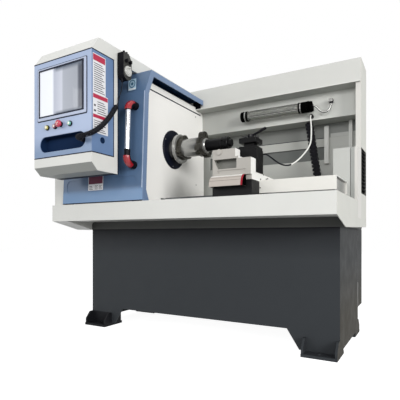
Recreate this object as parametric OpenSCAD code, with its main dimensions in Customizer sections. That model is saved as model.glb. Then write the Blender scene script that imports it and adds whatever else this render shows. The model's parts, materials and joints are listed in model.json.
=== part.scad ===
// Wheel rim lathe: a short slant-door CNC lathe that holds a wheel rim on a clamping mandrel.
// +X runs along the spindle to the tail end, +Y to the back, +Z up.
// The origin is on the floor, in the middle of the four floor bolts.

/* [Base] */
// Length of the base cabinet along the spindle
base_l = 1644; // [1480:4:1900]
// Depth of the base cabinet from front to back
base_d = 572; // [520:2:660]
// Height of the base cabinet's top above the floor
base_h = 643; // [540:1:760]
// Height of the arch between the feet
arch_h = 117; // [80:1:140]
// Run of the arch's slanted ends
arch_run = 66; // [40:1:100]
// Height of the beam that carries the chip tray
beam_h = 52; // [40:1:70]
// Depth of the cabinet on the back of the base
rear_box_d = 161; // [100:1:165]
// Height of the rear cabinet's underside above the floor
rear_box_z = 164; // [130:1:240]

/* [Feet] */
// Length of a foot plate along the spindle
foot_l = 176; // [120:2:220]
// Reach of a foot plate past the cabinet
foot_reach = 70; // [50:1:90]
// Part of a foot plate that lies under the cabinet
foot_under = 101; // [80:1:130]
// Thickness of a foot plate
foot_t = 15; // [10:1:25]
// Thickness of a foot's gusset ribs
gusset_t = 12; // [8:1:20]
// Height of a foot's gusset ribs
gusset_h = 70; // [40:5:100]
// Diameter of a floor bolt hole
bolt_d = 22; // [16:1:30]

/* [Sheet metal] */
// Thickness of the covers' sheet
sheet = 4; // [3:0.5:5]
// Reach of the chip tray in front of the base
tray_front = 221; // [200:1:260]
// Height of the chip tray's front lip
tray_rim = 105; // [80:1:130]
// Height of the covers above the tray's rim
hood_h = 865; // [800:5:1000]
// Reach of the covers behind the base
hood_back = 165; // [165:1:220]
// Overhang of the right side panel past the base
over_r = 27; // [15:1:60]
// Overhang of the headstock cover past the base
over_l = 143; // [120:1:200]
// Height of the hood's fascia
fascia_h = 145; // [100:5:200]
// Depth of the hood from its fascia to the back
hood_d = 232; // [215:1:280]
// Depth of the hood's upper step, up to the lamp panel
lamp_step = 89; // [80:1:110]
// Height of the lamp panel
lamp_panel_h = 167; // [140:1:200]
// Thickness of the rear wall
wall_t = 17; // [14:1:30]
// Thickness of the roof over the headstock
roof_t = 77; // [60:1:90]

/* [Headstock] */
// Length of the headstock zone, from the left end to the guard's face
head_l = 682; // [640:2:760]
// Height of the spindle above the tray's rim
axis_up = 374; // [340:1:400]
// Distance of the spindle's axis in front of the frame's middle
axis_fwd = 88; // [70:1:110]
// Radius of the spindle in its front bearing
spindle_r = 40; // [34:1:44]
// Radius of the clamping mandrel
mandrel_r = 25; // [18:1:30]
// Radius of the spindle pulley
pulley_r = 75; // [60:1:90]
// Radius of the motor pulley
motor_pulley_r = 45; // [35:1:55]
// Radius of the main motor
motor_r = 95; // [70:1:98]

/* [Clamp] */
// Radius of the nose disc
nose_r = 94; // [80:1:100]
// Radius of the barrel that centres the rim
barrel_r = 59; // [50:1:70]
// Length of the barrel
barrel_l = 115; // [80:1:140]
// Radius of the three-lobed clamp flange
flange_r = 93; // [80:1:100]
// Width of a lobe of the flange
arm_w = 74; // [50:1:80]
// Thickness of the clamp flange
flange_t = 33; // [20:1:45]
// Length of the draw nut
nut_l = 171; // [140:1:180]
// Play between sliding or turning round pieces, on the radius
fit = 0.05; // [0.02:0.01:0.1]

/* [Bed and saddle] */
// Width of the bed over its two rails
bed_w = 280; // [270:2:300]
// Width of one rail
rail_w = 70; // [60:1:74]
// Height of the rails' tops above the tray's rim
way_up = 32; // [20:1:50]
// Width of the saddle along the spindle
saddle_w = 236; // [230:1:250]
// Reach of the saddle's front past the bed
saddle_reach = 129; // [110:1:140]
// Thickness of the saddle's casting above the rails
saddle_t = 70; // [60:1:80]
// Thickness of the saddle's top plate
plate_t = 41; // [36:1:50]
// Radius of the feed screw along the bed
z_screw_r = 16; // [12:1:20]
// Radius of the cross feed screw
x_screw_r = 10; // [8:1:11]
// Side of the square four-way turret
turret_w = 100; // [90:1:104]

/* [Door] */
// Width of the sliding door
door_w = 650; // [560:5:700]
// Depth of the folded edges of the door
door_edge = 34; // [20:1:36]
// Radius of the door handle's tube
handle_r = 15; // [10:1:18]
// Distance of the handle from the door
handle_out = 66; // [50:1:80]

/* [Control box] */
// Width of the control box
box_w = 453; // [420:1:480]
// Depth of the control box in front of the roof
box_d = 201; // [160:1:240]
// Height of the control box's underside above the tray's rim
box_up = 150; // [120:1:200]
// Height of the blue front panel
panel_h = 539; // [539:1:560]
// Width of the screen's bezel
bezel_w = 382; // [340:1:400]
// Height of the screen's bezel
bezel_h = 295; // [260:1:300]
// Radius of a push button's cap
button_r = 10.5; // [8:0.5:12]
// Radius of the emergency stop's head
estop_r = 20; // [16:1:22]

/* [Cords] */
// Diameter of the coolant hose
hose_d = 9; // [6:1:12]
// Diameter of the lamp's lead
lamp_lead_d = 9; // [6:1:10]
// Diameter of the pendant's lead
lead_d = 6; // [4:1:8]
// Outer diameter of the pendant's curly cord
coil_d = 28; // [20:1:30]

/* [Hidden] */
$fn = 64;
eps = 1;
gap = 0.3;

// Planes of the base and the covers
bx = base_l / 2;
by = base_d / 2;
foot_in = bx - foot_l;
bolt_x = bx - foot_l / 2;
bolt_y = by + foot_reach / 2;
z_beam = base_h + beam_h;
z_floor = z_beam + sheet;
z_rim = z_beam + tray_rim;
z_top = z_rim + hood_h;
xr = bx + over_r;
xl = -(bx + over_l);
yf = -(by + tray_front);
yb = by + hood_back;
xi = xr - sheet;
y_wall = yb - wall_t;
y_fascia = yb - hood_d;
y_lamp = y_fascia + lamp_step;
z_fascia = z_top - fascia_h;
z_lamp = z_fascia - lamp_panel_h;
z_roof = z_top - roof_t;

// Headstock and spindle
xg = xl + head_l;
axis_y = -axis_fwd;
axis_z = z_rim + axis_up;
end_cover_w = 91;
x_end = xl + end_cover_w;
xc = xg - 55;
guard_front = -by - 139;
guard_back = by - 1;
guard_top = z_fascia;
way_z = z_rim + way_up;
bed_y0 = axis_y - bed_w / 2;
bed_y1 = axis_y + bed_w / 2;
cast_x0 = x_end + 14;
cast_x1 = xg - 47;
boss_x = xg - 5;
motor_y = bed_y1 + motor_r + 15;
motor_z = z_floor + motor_r + 56;
belt_x = xl + 40;
belt_w = 30;
rear_bearing_r = spindle_r - 5;

// Clamping mandrel, from the nose to the tip of the draw nut
x_disc = xg + 45;
x_barrel = x_disc + 52;
x_flange = x_barrel + barrel_l;
x_collar = x_flange + flange_t;
collar_t = 15;
x_nut = x_collar + collar_t;
x_tip = x_nut + nut_l;

// Bed, saddle and tool post
bed_x1 = xr - 209;
x_saddle1 = bed_x1 - 257;
x_saddle0 = x_saddle1 - saddle_w;
y_saddle0 = bed_y0 - saddle_reach;
y_saddle1 = bed_y1 + 26;
z_saddle = way_z + saddle_t;
z_plate = z_saddle + plate_t;
screw_y = axis_y;
screw_z = way_z - 57;
block_x0 = xg + 13;
block_x1 = bed_x1 - 80;
block_t = 30;
post_w = 71;
slide_l = 182;
y_slide1 = y_saddle0 + slide_l;
slide_t = 75;
z_slide = z_plate + slide_t;
turret_x = x_saddle1 - turret_w / 2;
turret_y = y_saddle0 + post_w + turret_w / 2;
riser_h = 67;
z_turret = z_slide + riser_h;
turret_h = 55;
x_feed_x = x_saddle1 - 118;
x_feed_z = z_plate - 20;
cover_x1 = xr - 53;
cover_y0 = bed_y0 - 3;
cover_y1 = bed_y1 + 20;
z_cover = z_saddle + 5;

// Door
x_door0 = x_end;
x_door1 = x_door0 + door_w;
z_door = z_rim + 3;
z_bend = z_fascia - 75;
z_door_top = z_roof - 6;
y_door = yf + 7;
y_bend = y_door + 30;
y_door_top = y_door + 89;
y_door_back = y_fascia - 5;
lean = atan((y_bend - y_door) / (z_bend - z_door));
z_rail = z_fascia + 6;

// Control box
xb0 = xc - box_w;
y_box1 = -by - 294;
y_box0 = y_box1 - box_d;
z_box = z_rim + box_up;
z_panel1 = z_top - 80;
z_panel0 = z_panel1 - panel_h;
panel_side = 166;
panel_gap = 4;
z_buttons = z_panel0 + 165;
x_yellow = xb0 + 114;
x_pink = xb0 + 178;
x_estop = xb0 + 222;
x_green = xb0 + 295;
bezel_ring_r = button_r + 4.5;
z_slot0 = z_panel0 + 27;
slot_h = 88;
slot_x0 = xb0 + 50;
slot_x1 = xc - 45;
socket_x = slot_x1 - 20;
socket_z = z_slot0 + slot_h / 2;
screen_x0 = xb0 + 35;
screen_z0 = z_panel0 + 209;

// Pendant
pend_x = xc + 5;
pend_t = 44;
pend_y0 = y_box1 - 5;
pend_w = 70;
pend_z0 = z_top - 178;
pend_h = 150;
dial_r = 29;
dial_y = pend_y0 + 35;
dial_z = pend_z0 + 48;
knob_r = 9;
knob_z = pend_z0 + 102;

// Lamp and glands
lamp_r = 33;
lamp_x0 = xr - 783;
lamp_l = 486;
cap_l = 30;
lamp_y = y_lamp - 58;
lamp_z = z_lamp + 74;
gland_x = xr - 187;
gland_z = z_lamp + 95;
hose_gland_x = xr - 312;
hose_gland_z = z_lamp + 24;
pipe_x = x_saddle1 - 19;
pipe_y = y_slide1 + 37;
pipe_z = z_plate + 127;

// Routes of the cords, chosen by hand from end to end
lamp_route = [[552, 250, 1429], [562, 250, 1429], [574, 251, 1424], [586, 254, 1412], [597, 257, 1399],
    [610, 261, 1389], [624, 266, 1384], [638, 271, 1387], [649, 276, 1396], [657, 281, 1410],
    [661, 284, 1428], [662, 285, 1438], [662, 285, 1448]];
hose_route = [[537, 285, 1377], [537, 274, 1377], [539, 259, 1369], [543, 247, 1349], [549, 236, 1320],
    [554, 224, 1280], [558, 207, 1230], [559, 190, 1189], [554, 156, 1145], [543, 122, 1112],
    [530, 90, 1082], [516, 60, 1057], [502, 32, 1037], [488, 8, 1023], [472, -16, 1016],
    [455, -40, 1017], [440, -62, 1024], [425, -84, 1036], [410, -105, 1050], [397, -122, 1062],
    [386, -134, 1069], [381, -138, 1070], [373, -138, 1070]];
lead_route = [[-315, -567, 1475], [-315, -567, 1460], [-315, -570, 1440], [-315, -577, 1418],
    [-315, -588, 1390], [-315, -598, 1364], [-315, -605, 1342], [-315, -611, 1332]];
coil_route = [[-315, -611, 1332], [-315, -620, 1317], [-315, -634, 1297], [-315, -655, 1268],
    [-315, -680, 1238], [-315, -708, 1208], [-315, -740, 1179], [-316, -772, 1154], [-322, -802, 1134],
    [-339, -825, 1121], [-362, -834, 1117], [-385, -829, 1117], [-399, -816, 1117], [-403, -801, 1117],
    [-403, -788, 1117]];

// ---------- helpers ----------

// Box between two opposite corners
module block(a, b) {
    translate(a) cube(b - a);
}

// Outline in (y, z), pushed along X
module along_x(x0, x1) {
    translate([x0, 0, 0]) rotate([90, 0, 90]) linear_extrude(x1 - x0) children();
}

// Outline in (x, z), pushed along Y
module along_y(y0, y1) {
    translate([0, y1, 0]) rotate([90, 0, 0]) linear_extrude(y1 - y0) children();
}

module rod_x(x0, x1, y, z, r) {
    translate([x0, y, z]) rotate([0, 90, 0]) cylinder(h = x1 - x0, r = r);
}

module rod_y(y0, y1, x, z, r) {
    translate([x, y0, z]) rotate([-90, 0, 0]) cylinder(h = y1 - y0, r = r);
}

module rod_z(z0, z1, x, y, r) {
    translate([x, y, z0]) cylinder(h = z1 - z0, r = r);
}

// Rectangle with round corners
module round_rect(x0, z0, x1, z1, r) {
    translate([x0 + r, z0]) square([x1 - x0 - 2 * r, z1 - z0]);
    translate([x0, z0 + r]) square([x1 - x0, z1 - z0 - 2 * r]);
    for (x = [x0 + r, x1 - r], z = [z0 + r, z1 - r]) translate([x, z]) circle(r);
}

// Frame of the spindle: local Z runs along the spindle
module on_spindle(x) {
    translate([x, axis_y, axis_z]) rotate([0, 90, 0]) children();
}

module both_ends() {
    for (s = [0, 1]) mirror([s, 0, 0]) children();
}

module both_sides() {
    for (s = [0, 1]) mirror([0, s, 0]) children();
}

// Three round lobes with a slot in each, on a round hub: local Z is the spindle
module star(r_out, r_hub, t, slot) {
    linear_extrude(t) difference() {
        union() {
            circle(r_hub);
            for (a = [0, 120, 240]) rotate(a + 180) translate([r_out - arm_w / 2, 0]) circle(arm_w / 2);
        }
        for (a = [0, 120, 240]) rotate(a + 180) translate([r_hub + 4, -slot / 2]) square([r_out, slot]);
    }
}

// Ring of points round a route's point, square to the route's direction
function unit(v) = v / norm(v);
function heading(p, i) = unit(p[min(i + 1, len(p) - 1)] - p[max(i - 1, 0)]);
function side(d) = unit(abs(d.z) > 0.9 ? cross(d, [1, 0, 0]) : cross(d, [0, 0, 1]));
function carried(p, i) = i == 0 ? side(heading(p, 0))
    : let (d = heading(p, i), u = carried(p, i - 1)) unit(u - d * (u * d));

// Round tube swept along a route
module tube(p, r, n) {
    rings = [for (i = [0:len(p) - 1]) let (d = heading(p, i), u = carried(p, i), v = cross(d, u))
        [for (k = [0:n - 1]) p[i] + r * (cos(360 * k / n) * u + sin(360 * k / n) * v)]];
    walls = [for (i = [0:len(p) - 2], k = [0:n - 1])
        [i * n + k, i * n + (k + 1) % n, (i + 1) * n + (k + 1) % n, (i + 1) * n + k]];
    start = [[for (k = [n - 1:-1:0]) k]];
    end = [[for (k = [0:n - 1]) (len(p) - 1) * n + k]];
    points = [for (ring = rings) for (q = ring) q];
    polyhedron(points, [for (f = concat(walls, start, end)) [for (j = [len(f) - 1:-1:0]) f[j]]]);
}

// ---------- base ----------

module foot() {
    difference() {
        block([foot_in, by - foot_under, 0], [bx, by + foot_reach, foot_t]);
        rod_z(-eps, foot_t + eps, bolt_x, bolt_y, bolt_d / 2);
    }
    for (x = [foot_in, bx - gusset_t]) along_x(x, x + gusset_t) polygon([[by - eps, foot_t - eps],
        [by + foot_reach - 6, foot_t - eps], [by + foot_reach - 6, foot_t + gusset_h * 0.4],
        [by + foot_reach * 0.4, foot_t + gusset_h], [by - eps, foot_t + gusset_h]]);
}

module base_cabinet() color([0.23, 0.24, 0.25]) {
    skirt_t = 6;
    skirt_clear = 26;
    slant_x = foot_in - 26;
    post_y = by - foot_under + 10;
    top = arch_h + eps;
    block([-bx, -by, arch_h], [bx, by, base_h]);
    both_ends() both_sides() {
        foot();
        // corner post, skirt across the end, and the slanted end of the skirt along the front
        block([foot_in, post_y, foot_t - eps], [bx, by, top]);
        block([bx - skirt_t, -eps, skirt_clear], [bx, post_y + eps, top]);
        along_y(by - skirt_t, by) polygon([[slant_x, foot_t], [bx, foot_t], [bx, top],
            [slant_x - arch_run, top]]);
    }
    block([-bx, by - eps, rear_box_z], [bx, by + rear_box_d, base_h - 3]);
}

module base_top_beam() color([0.27, 0.27, 0.27]) {
    x0 = -bx - 6;
    corner = 24;
    along_y(-by, by) {
        translate([x0 + corner, base_h]) square([xi - x0 - corner, beam_h]);
        translate([x0, base_h]) square([corner + eps, beam_h - corner]);
        translate([x0 + corner, z_beam - corner]) circle(corner);
    }
}

// ---------- tray and covers ----------

module chip_tray() color([0.85, 0.85, 0.83]) {
    x_left = -bx - 6;
    block([xl, yf, z_beam], [xi, yb, z_floor]);
    block([xl, yf, z_beam], [xi, yf + sheet, z_rim]);
    block([xl, yf, z_rim - sheet], [xi, yf + 20, z_rim]);
    block([xl, yf, z_beam], [xl + sheet, yb, z_rim]);
    block([xl, yb - sheet, z_beam], [x_end, yb, z_rim]);
    along_x(xl, x_left) polygon([[yf, z_beam + eps], [-by, base_h], [yb, base_h], [yb, z_beam + eps]]);
}

module side_outline() {
    polygon([[yf, z_beam], [yf, z_rim], [y_fascia, z_rim], [y_fascia, z_top], [yb, z_top],
        [yb, base_h + 12], [-by, base_h]]);
}

module right_end_cover() color([0.85, 0.85, 0.83]) {
    vent_y0 = y_fascia + 12;
    vent_y1 = yb - 9;
    vent_z0 = z_rim + 55;
    vent_h = 276;
    pitch = 23;
    difference() {
        along_x(xi, xr) side_outline();
        block([xi - eps, vent_y0, vent_z0], [xr + eps, vent_y1, vent_z0 + vent_h]);
    }
    for (i = [0:11]) along_y(vent_y0 - eps, vent_y1 + eps) translate([xi + 0.5, vent_z0 + i * pitch])
        polygon([[0, 12], [0, 14.5], [sheet - 1, 3.5], [sheet - 1, 1]]);
    block([xr - 30, y_fascia, z_rim], [xi + eps, y_fascia + sheet, z_fascia]);
    block([xr - 20, yf + 20 + gap, z_rim - sheet], [xi + eps, y_fascia + eps, z_rim]);
    // closed box inside the right end, with a step beside the end panel
    block([xr - 135, guard_back - 195, z_floor], [xr - 41, y_fascia - 6, z_rim + 308]);
    block([xr - 42, guard_back - 135, z_floor], [xi + eps, y_fascia - 6, z_rim + 308]);
}

module rear_enclosure() color([0.83, 0.83, 0.81]) {
    slot_z0 = z_rim + 312;
    slot_z1 = z_rim + 400;
    slot_end = xr - 256;
    difference() {
        union() {
            block([x_end, y_wall, z_floor], [xi, yb, z_lamp + eps]);
            block([x_end, y_wall, z_lamp], [xc, yb, z_roof]);
            along_x(xc, xi) polygon([[y_fascia, z_fascia], [y_fascia, z_top], [yb, z_top],
                [yb, z_lamp], [y_lamp, z_lamp], [y_lamp, z_fascia]]);
        }
        block([xg, y_wall - eps, slot_z0], [slot_end, y_wall + 12, slot_z1]);
        block([xg, y_wall - eps, slot_z1 + 56], [slot_end, y_wall + 3, slot_z1 + 60]);
    }
    // posts on the wall
    block([slot_end, y_wall - 24, slot_z0 - 29], [slot_end + 29, y_wall + eps, slot_z1 + 132]);
    block([xr - 100, y_wall - 24, z_floor], [xr - 78, y_wall + eps, z_lamp]);
    // rail under the door's back edge
    block([x_end, y_fascia - 14, z_rail - 6], [xi, y_fascia, z_rail]);
    block([x_end, y_fascia - 6, z_fascia], [xi, y_fascia + 0.5, z_rail]);
}

module headstock_cover() color([0.85, 0.85, 0.83]) {
    y0 = yf + 21;
    difference() {
        block([xl, y0, z_rim], [x_end, yb, z_roof + eps]);
        block([xl + sheet, y0 + sheet, z_rim - eps], [x_end + eps, yb - sheet, z_roof]);
    }
    translate([0, 0, z_roof]) linear_extrude(roof_t) polygon([[xl, y0], [xb0, y0], [xb0, y_box1],
        [xc, y_box1], [xc, yb], [xl, yb]]);
}

module guard_outline(inset) {
    polygon([[guard_front + inset, z_floor], [guard_front + inset, guard_top - 120 - inset * 0.5],
        [guard_front + 50 + inset * 0.5, guard_top - inset], [guard_back - inset, guard_top - inset],
        [guard_back - inset, z_floor]]);
}

module headstock_guard() color([0.88, 0.88, 0.86]) {
    difference() {
        along_x(x_end, xg) guard_outline(0);
        along_x(x_end - eps, xg - sheet) translate([0, -eps]) guard_outline(sheet);
        rod_x(xg - 2 * sheet, xg + eps, axis_y, axis_z, 110);
        block([xg - 2 * sheet, bed_y0 - 6, z_floor - eps], [xg + eps, bed_y1 + 6, way_z + 8]);
    }
}

// ---------- headstock ----------

module headstock_casting() color([0.45, 0.5, 0.55]) {
    bearing_f = spindle_r + 35;
    bearing_b = rear_bearing_r + 20;
    difference() {
        union() {
            along_x(cast_x0, cast_x1) polygon([[bed_y0, way_z], [bed_y1, way_z], [bed_y1 - 15, way_z + 168],
                [bed_y1 - 25, axis_z + 116], [bed_y1 - 75, axis_z + 156], [bed_y0 + 75, axis_z + 156],
                [bed_y0 + 25, axis_z + 116], [bed_y0 + 15, way_z + 168]]);
            rod_x(cast_x1 - eps, boss_x, axis_y, axis_z, 100);
        }
        rod_x(cast_x0 - eps, boss_x + eps, axis_y, axis_z, spindle_r + 8);
        rod_x(boss_x - 60, boss_x + eps, axis_y, axis_z, bearing_f + fit);
        rod_x(cast_x0 - eps, cast_x0 + 40, axis_y, axis_z, bearing_b + fit);
    }
}

module bearing(r_in, r_out, w) {
    difference() {
        cylinder(h = w, r = r_out);
        translate([0, 0, -eps]) cylinder(h = w + 2 * eps, r = r_in);
        translate([0, 0, -eps]) difference() {
            cylinder(h = 4, r = (r_in + r_out) / 2 + 6);
            cylinder(h = 4, r = (r_in + r_out) / 2 - 6);
        }
    }
}

module spindle_bearings() color([0.75, 0.76, 0.78]) {
    on_spindle(boss_x - 60) bearing(spindle_r + fit, spindle_r + 35, 60);
    on_spindle(cast_x0) bearing(rear_bearing_r + fit, rear_bearing_r + 20, 40);
}

module spindle_ring_cover() color([0.08, 0.09, 0.14]) {
    hub = barrel_r + 4;
    difference() {
        on_spindle(xg) rotate_extrude() polygon([[hub, 0], [127, 0], [127, 5], [122, 10], [hub + 12, 10],
            [hub, 6]]);
        for (a = [30, 150, 270])
            on_spindle(xg - eps) rotate(a) translate([107, 0, 0]) cylinder(h = 14, r = 4);
    }
}

module main_motor() color([0.3, 0.35, 0.42]) {
    x0 = cast_x0;
    l = 300;
    rod_x(x0, x0 + l, motor_y, motor_z, motor_r - 7);
    for (i = [0:11]) rod_x(x0 + 26 + i * 21, x0 + 36 + i * 21, motor_y, motor_z, motor_r);
    rod_x(x0, x0 + 18, motor_y, motor_z, motor_r);
    block([x0 + 40, motor_y - 75, z_floor], [x0 + l - 60, motor_y + 75, motor_z - motor_r + 14]);
    block([x0 + 80, motor_y - 45, motor_z + motor_r - 20], [x0 + 190, motor_y + 45, motor_z + motor_r + 34]);
}

module belt_outline(r) {
    hull() {
        translate([axis_y, axis_z]) circle(pulley_r + r);
        translate([motor_y, motor_z]) circle(motor_pulley_r + r);
    }
}

module drive_belt() color([0.1, 0.1, 0.1]) along_x(belt_x - belt_w / 2, belt_x + belt_w / 2) difference() {
    belt_outline(5 + gap);
    belt_outline(gap);
}

// Pulley with a flange on each side of the belt
module pulley(r, bore) {
    w = belt_w + 10;
    translate([0, 0, -w / 2]) rotate_extrude() polygon([[bore, 0], [r + 6, 0], [r + 6, 4], [r, 4.5],
        [r, w - 4.5], [r + 6, w - 4], [r + 6, w], [bore, w]]);
}

module spindle_pulley() color([0.6, 0.62, 0.65]) on_spindle(belt_x) pulley(pulley_r, rear_bearing_r + fit);

module motor_pulley() color([0.6, 0.62, 0.65]) {
    translate([belt_x, motor_y, motor_z]) rotate([0, 90, 0]) pulley(motor_pulley_r, 10);
    rod_x(belt_x - belt_w / 2 - 5, cast_x0 - gap, motor_y, motor_z, 10);
}

module spindle_shaft() color([0.62, 0.64, 0.66]) {
    neck_x = boss_x - 66;
    difference() {
        union() {
            rod_x(neck_x, x_disc, axis_y, axis_z, spindle_r);
            rod_x(cast_x0 + 46, neck_x + eps, axis_y, axis_z, spindle_r - 3);
            rod_x(belt_x - belt_w / 2 - 10, cast_x0 + 47, axis_y, axis_z, rear_bearing_r);
            rod_x(x_disc - eps, x_tip - 28, axis_y, axis_z, mandrel_r);
        }
        rod_x(belt_x - belt_w, x_disc - 20, axis_y, axis_z, 15);
    }
}

module spindle_nose() color([0.62, 0.63, 0.62]) {
    hub = barrel_r + 1;
    difference() {
        union() {
            on_spindle(xg - 3) rotate_extrude() polygon([[spindle_r + fit, 0], [hub, 0], [hub, 48],
                [nose_r - 4, 48], [nose_r, 52], [nose_r, 58], [nose_r - 3, 60], [nose_r, 62],
                [nose_r, 68], [nose_r - 3, 70], [spindle_r + fit, 70]]);
            on_spindle(x_disc + 20) star(nose_r - 7, barrel_r + 8, 32, 8);
            on_spindle(x_disc + 4) cylinder(h = 20, r = nose_r - 20);
            rod_x(x_disc + 10, x_flange - gap, axis_y, axis_z, barrel_r);
        }
        rod_x(xg - 6, x_flange + eps, axis_y, axis_z, mandrel_r + fit);
        rod_x(xg - 6, x_disc + gap, axis_y, axis_z, spindle_r + fit);
    }
}

module clamp_flange() color([0.2, 0.2, 0.19]) difference() {
    union() {
        on_spindle(x_flange) star(flange_r, barrel_r - 4, flange_t, 9);
        on_spindle(x_flange) cylinder(h = flange_t * 0.5, r = barrel_r + 6);
    }
    rod_x(x_flange - eps, x_collar + eps, axis_y, axis_z, mandrel_r + fit);
}

module clamp_collar() color([0.8, 0.8, 0.8]) difference() {
    on_spindle(x_collar) rotate_extrude() polygon([[mandrel_r + fit, 0], [47.5, 0], [47.5, collar_t - 3],
        [44.5, collar_t], [mandrel_r + fit, collar_t]]);
}

module clamp_nut() color([0.07, 0.07, 0.08]) {
    head = nut_l - 65;
    bore = mandrel_r + fit;
    difference() {
        on_spindle(x_nut) rotate_extrude() polygon([[bore, 0], [36.5, 0], [36.5, head], [40.5, head + 3],
            [40.5, head + 44], [37, head + 48], [24, head + 49], [22, nut_l], [0, nut_l],
            [0, nut_l - 22], [bore, nut_l - 22]]);
        for (a = [0:60:300], s = [14, 32]) on_spindle(x_nut + head + s) rotate(a + s) translate([32, 0, 0])
            rotate([0, 90, 0]) cylinder(h = 12, r = 4.5);
    }
}

// ---------- bed ----------

module bed_casting() color([0.42, 0.45, 0.48]) {
    web = 20;
    vee_y = bed_y0 + rail_w / 2;
    difference() {
        along_x(cast_x0, bed_x1) polygon([[bed_y0, z_floor], [bed_y1, z_floor], [bed_y1, way_z],
            [bed_y1 - rail_w, way_z], [bed_y1 - rail_w, z_floor + web], [bed_y0 + rail_w, z_floor + web],
            [bed_y0 + rail_w, way_z], [vee_y + 15, way_z], [vee_y, way_z + 12], [vee_y - 15, way_z],
            [bed_y0, way_z]]);
        // the vee stops short of the headstock and of the fixed cover
        block([cast_x0 - eps, vee_y - 20, way_z], [xg + 10, vee_y + 20, way_z + 20]);
        block([bed_x1 - 225, vee_y - 20, way_z], [bed_x1 + eps, vee_y + 20, way_z + 20]);
    }
    for (x = [block_x0, block_x1]) difference() {
        block([x, bed_y0 + rail_w - eps, z_floor + web - eps],
            [x + block_t, bed_y1 - rail_w + eps, way_z - 12]);
        rod_x(x - eps, x + block_t + eps, screw_y, screw_z, z_screw_r - 2 + fit);
    }
}

module z_servo_motor() color([0.12, 0.12, 0.13]) {
    x0 = bed_x1 + 10;
    half = 55;
    block([bed_x1, screw_y - 65, z_floor], [x0, screw_y + 65, screw_z + 65]);
    block([x0, screw_y - half, screw_z - half], [x0 + 90, screw_y + half, screw_z + half]);
    block([x0 + 90, screw_y - half + 8, screw_z - half + 8],
        [x0 + 120, screw_y + half - 8, screw_z + half - 8]);
}

module z_ball_screw() color([0.7, 0.7, 0.72]) {
    journal = z_screw_r - 2;
    rod_x(block_x0 - 4, block_x0 + block_t + 2, screw_y, screw_z, journal);
    rod_x(block_x0 + block_t + 1, block_x1 - 1, screw_y, screw_z, z_screw_r);
    rod_x(block_x1 - 2, bed_x1 - 38, screw_y, screw_z, journal);
    rod_x(bed_x1 - 40, bed_x1 - gap, screw_y, screw_z, 22);
}

module channel(x0, x1, y0, y1, z0, z1, t) {
    difference() {
        block([x0, y0, z0], [x1, y1, z1]);
        block([x0 - eps, y0 + t, z0 - eps], [x1 + eps, y1 - t, z1 - t]);
    }
}

module fixed_way_cover() color([0.55, 0.56, 0.55]) {
    x1 = cover_x1 - 10;
    channel(x_saddle1 + 27, x1, bed_y0 + 3, bed_y1 - 1, way_z, z_saddle - 4, sheet);
    block([x1 - sheet, bed_y0 + 3, z_floor], [x1, bed_y1 - 1, z_saddle - 4]);
}

module moving_way_cover() color([0.9, 0.9, 0.89]) {
    channel(x_saddle1, cover_x1, cover_y0 - 3, cover_y1, way_z + 4, z_cover, sheet);
}

// ---------- saddle ----------

module saddle() color([0.1, 0.1, 0.11]) {
    vee_y = bed_y0 + rail_w / 2;
    skirt = way_z - 42;
    nut_x = x_saddle0 + 68;
    along_x(x_saddle0, x_saddle1) polygon([[y_saddle0 + 14, skirt], [bed_y0 - 4, skirt],
        [bed_y0 - 4, way_z + gap], [vee_y - 15.4, way_z + gap], [vee_y, way_z + 12.6],
        [vee_y + 15.4, way_z + gap], [bed_y1 + 4, way_z + gap], [bed_y1 + 4, skirt + 10],
        [y_saddle1, skirt + 10], [y_saddle1, z_saddle], [y_saddle0 + 14, z_saddle]]);
    difference() {
        block([nut_x, screw_y - 30, screw_z - 28], [nut_x + 100, screw_y + 30, way_z + gap + eps]);
        rod_x(nut_x - eps, nut_x + 100 + eps, screw_y, screw_z, z_screw_r + fit);
    }
}

module saddle_top_plate() color([0.9, 0.9, 0.87]) {
    y_in0 = y_saddle0 + 16;
    x0 = x_saddle0 + 8;
    rail_l = y_saddle1 - 60;
    difference() {
        union() {
            block([x0, y_saddle0 + 14, z_saddle], [x_saddle1, y_saddle1, z_plate]);
            block([x0, y_saddle0, z_plate - 15], [x_saddle1, y_saddle0 + 15, z_plate]);
            along_y(y_saddle0 + 4, rail_l) polygon([[x0 + 40, z_plate - eps], [x0 + 30, z_plate + 14],
                [x_saddle1 - 30, z_plate + 14], [x_saddle1 - 40, z_plate - eps]]);
        }
        block([x_feed_x - 26, y_in0 + 14, x_feed_z - 17], [x_feed_x + 26, y_saddle1 - 20, z_plate + 20]);
        rod_y(y_saddle0 - eps, y_saddle1 + eps, x_feed_x, x_feed_z, x_screw_r - 2 + fit);
    }
}

module saddle_apron() color([0.85, 0.8, 0.76]) {
    x0 = x_saddle0 + 5;
    x1 = x0 + 198;
    z1 = z_plate - 15;
    z0 = z1 - 61;
    out = 42;
    n = 8;
    arc = [for (i = [0:n]) [y_saddle0 + 2 - out * sin(90 * i / n), z0 + (z1 - z0) * cos(90 * i / n)]];
    inner = [for (i = [n:-1:0])
        [y_saddle0 + 5 - out * sin(90 * i / n), z0 + (z1 - z0 - 3) * cos(90 * i / n)]];
    along_x(x0, x1) polygon(concat(arc, inner));
    for (x = [x0, x1 - 3]) along_x(x, x + 3) polygon(concat(arc, [[y_saddle0 + 14, z0],
        [y_saddle0 + 14, z1 - 0.5]]));
}

module coolant_pipe() color([0.15, 0.15, 0.16]) {
    rod_z(z_plate, pipe_z, pipe_x, pipe_y, 5);
    rod_z(z_plate, z_plate + 12, pipe_x, pipe_y, 9);
    translate([pipe_x, pipe_y, pipe_z]) sphere(5);
    rod_x(pipe_x, pipe_x + 9, pipe_y, pipe_z, 5);
}

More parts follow.
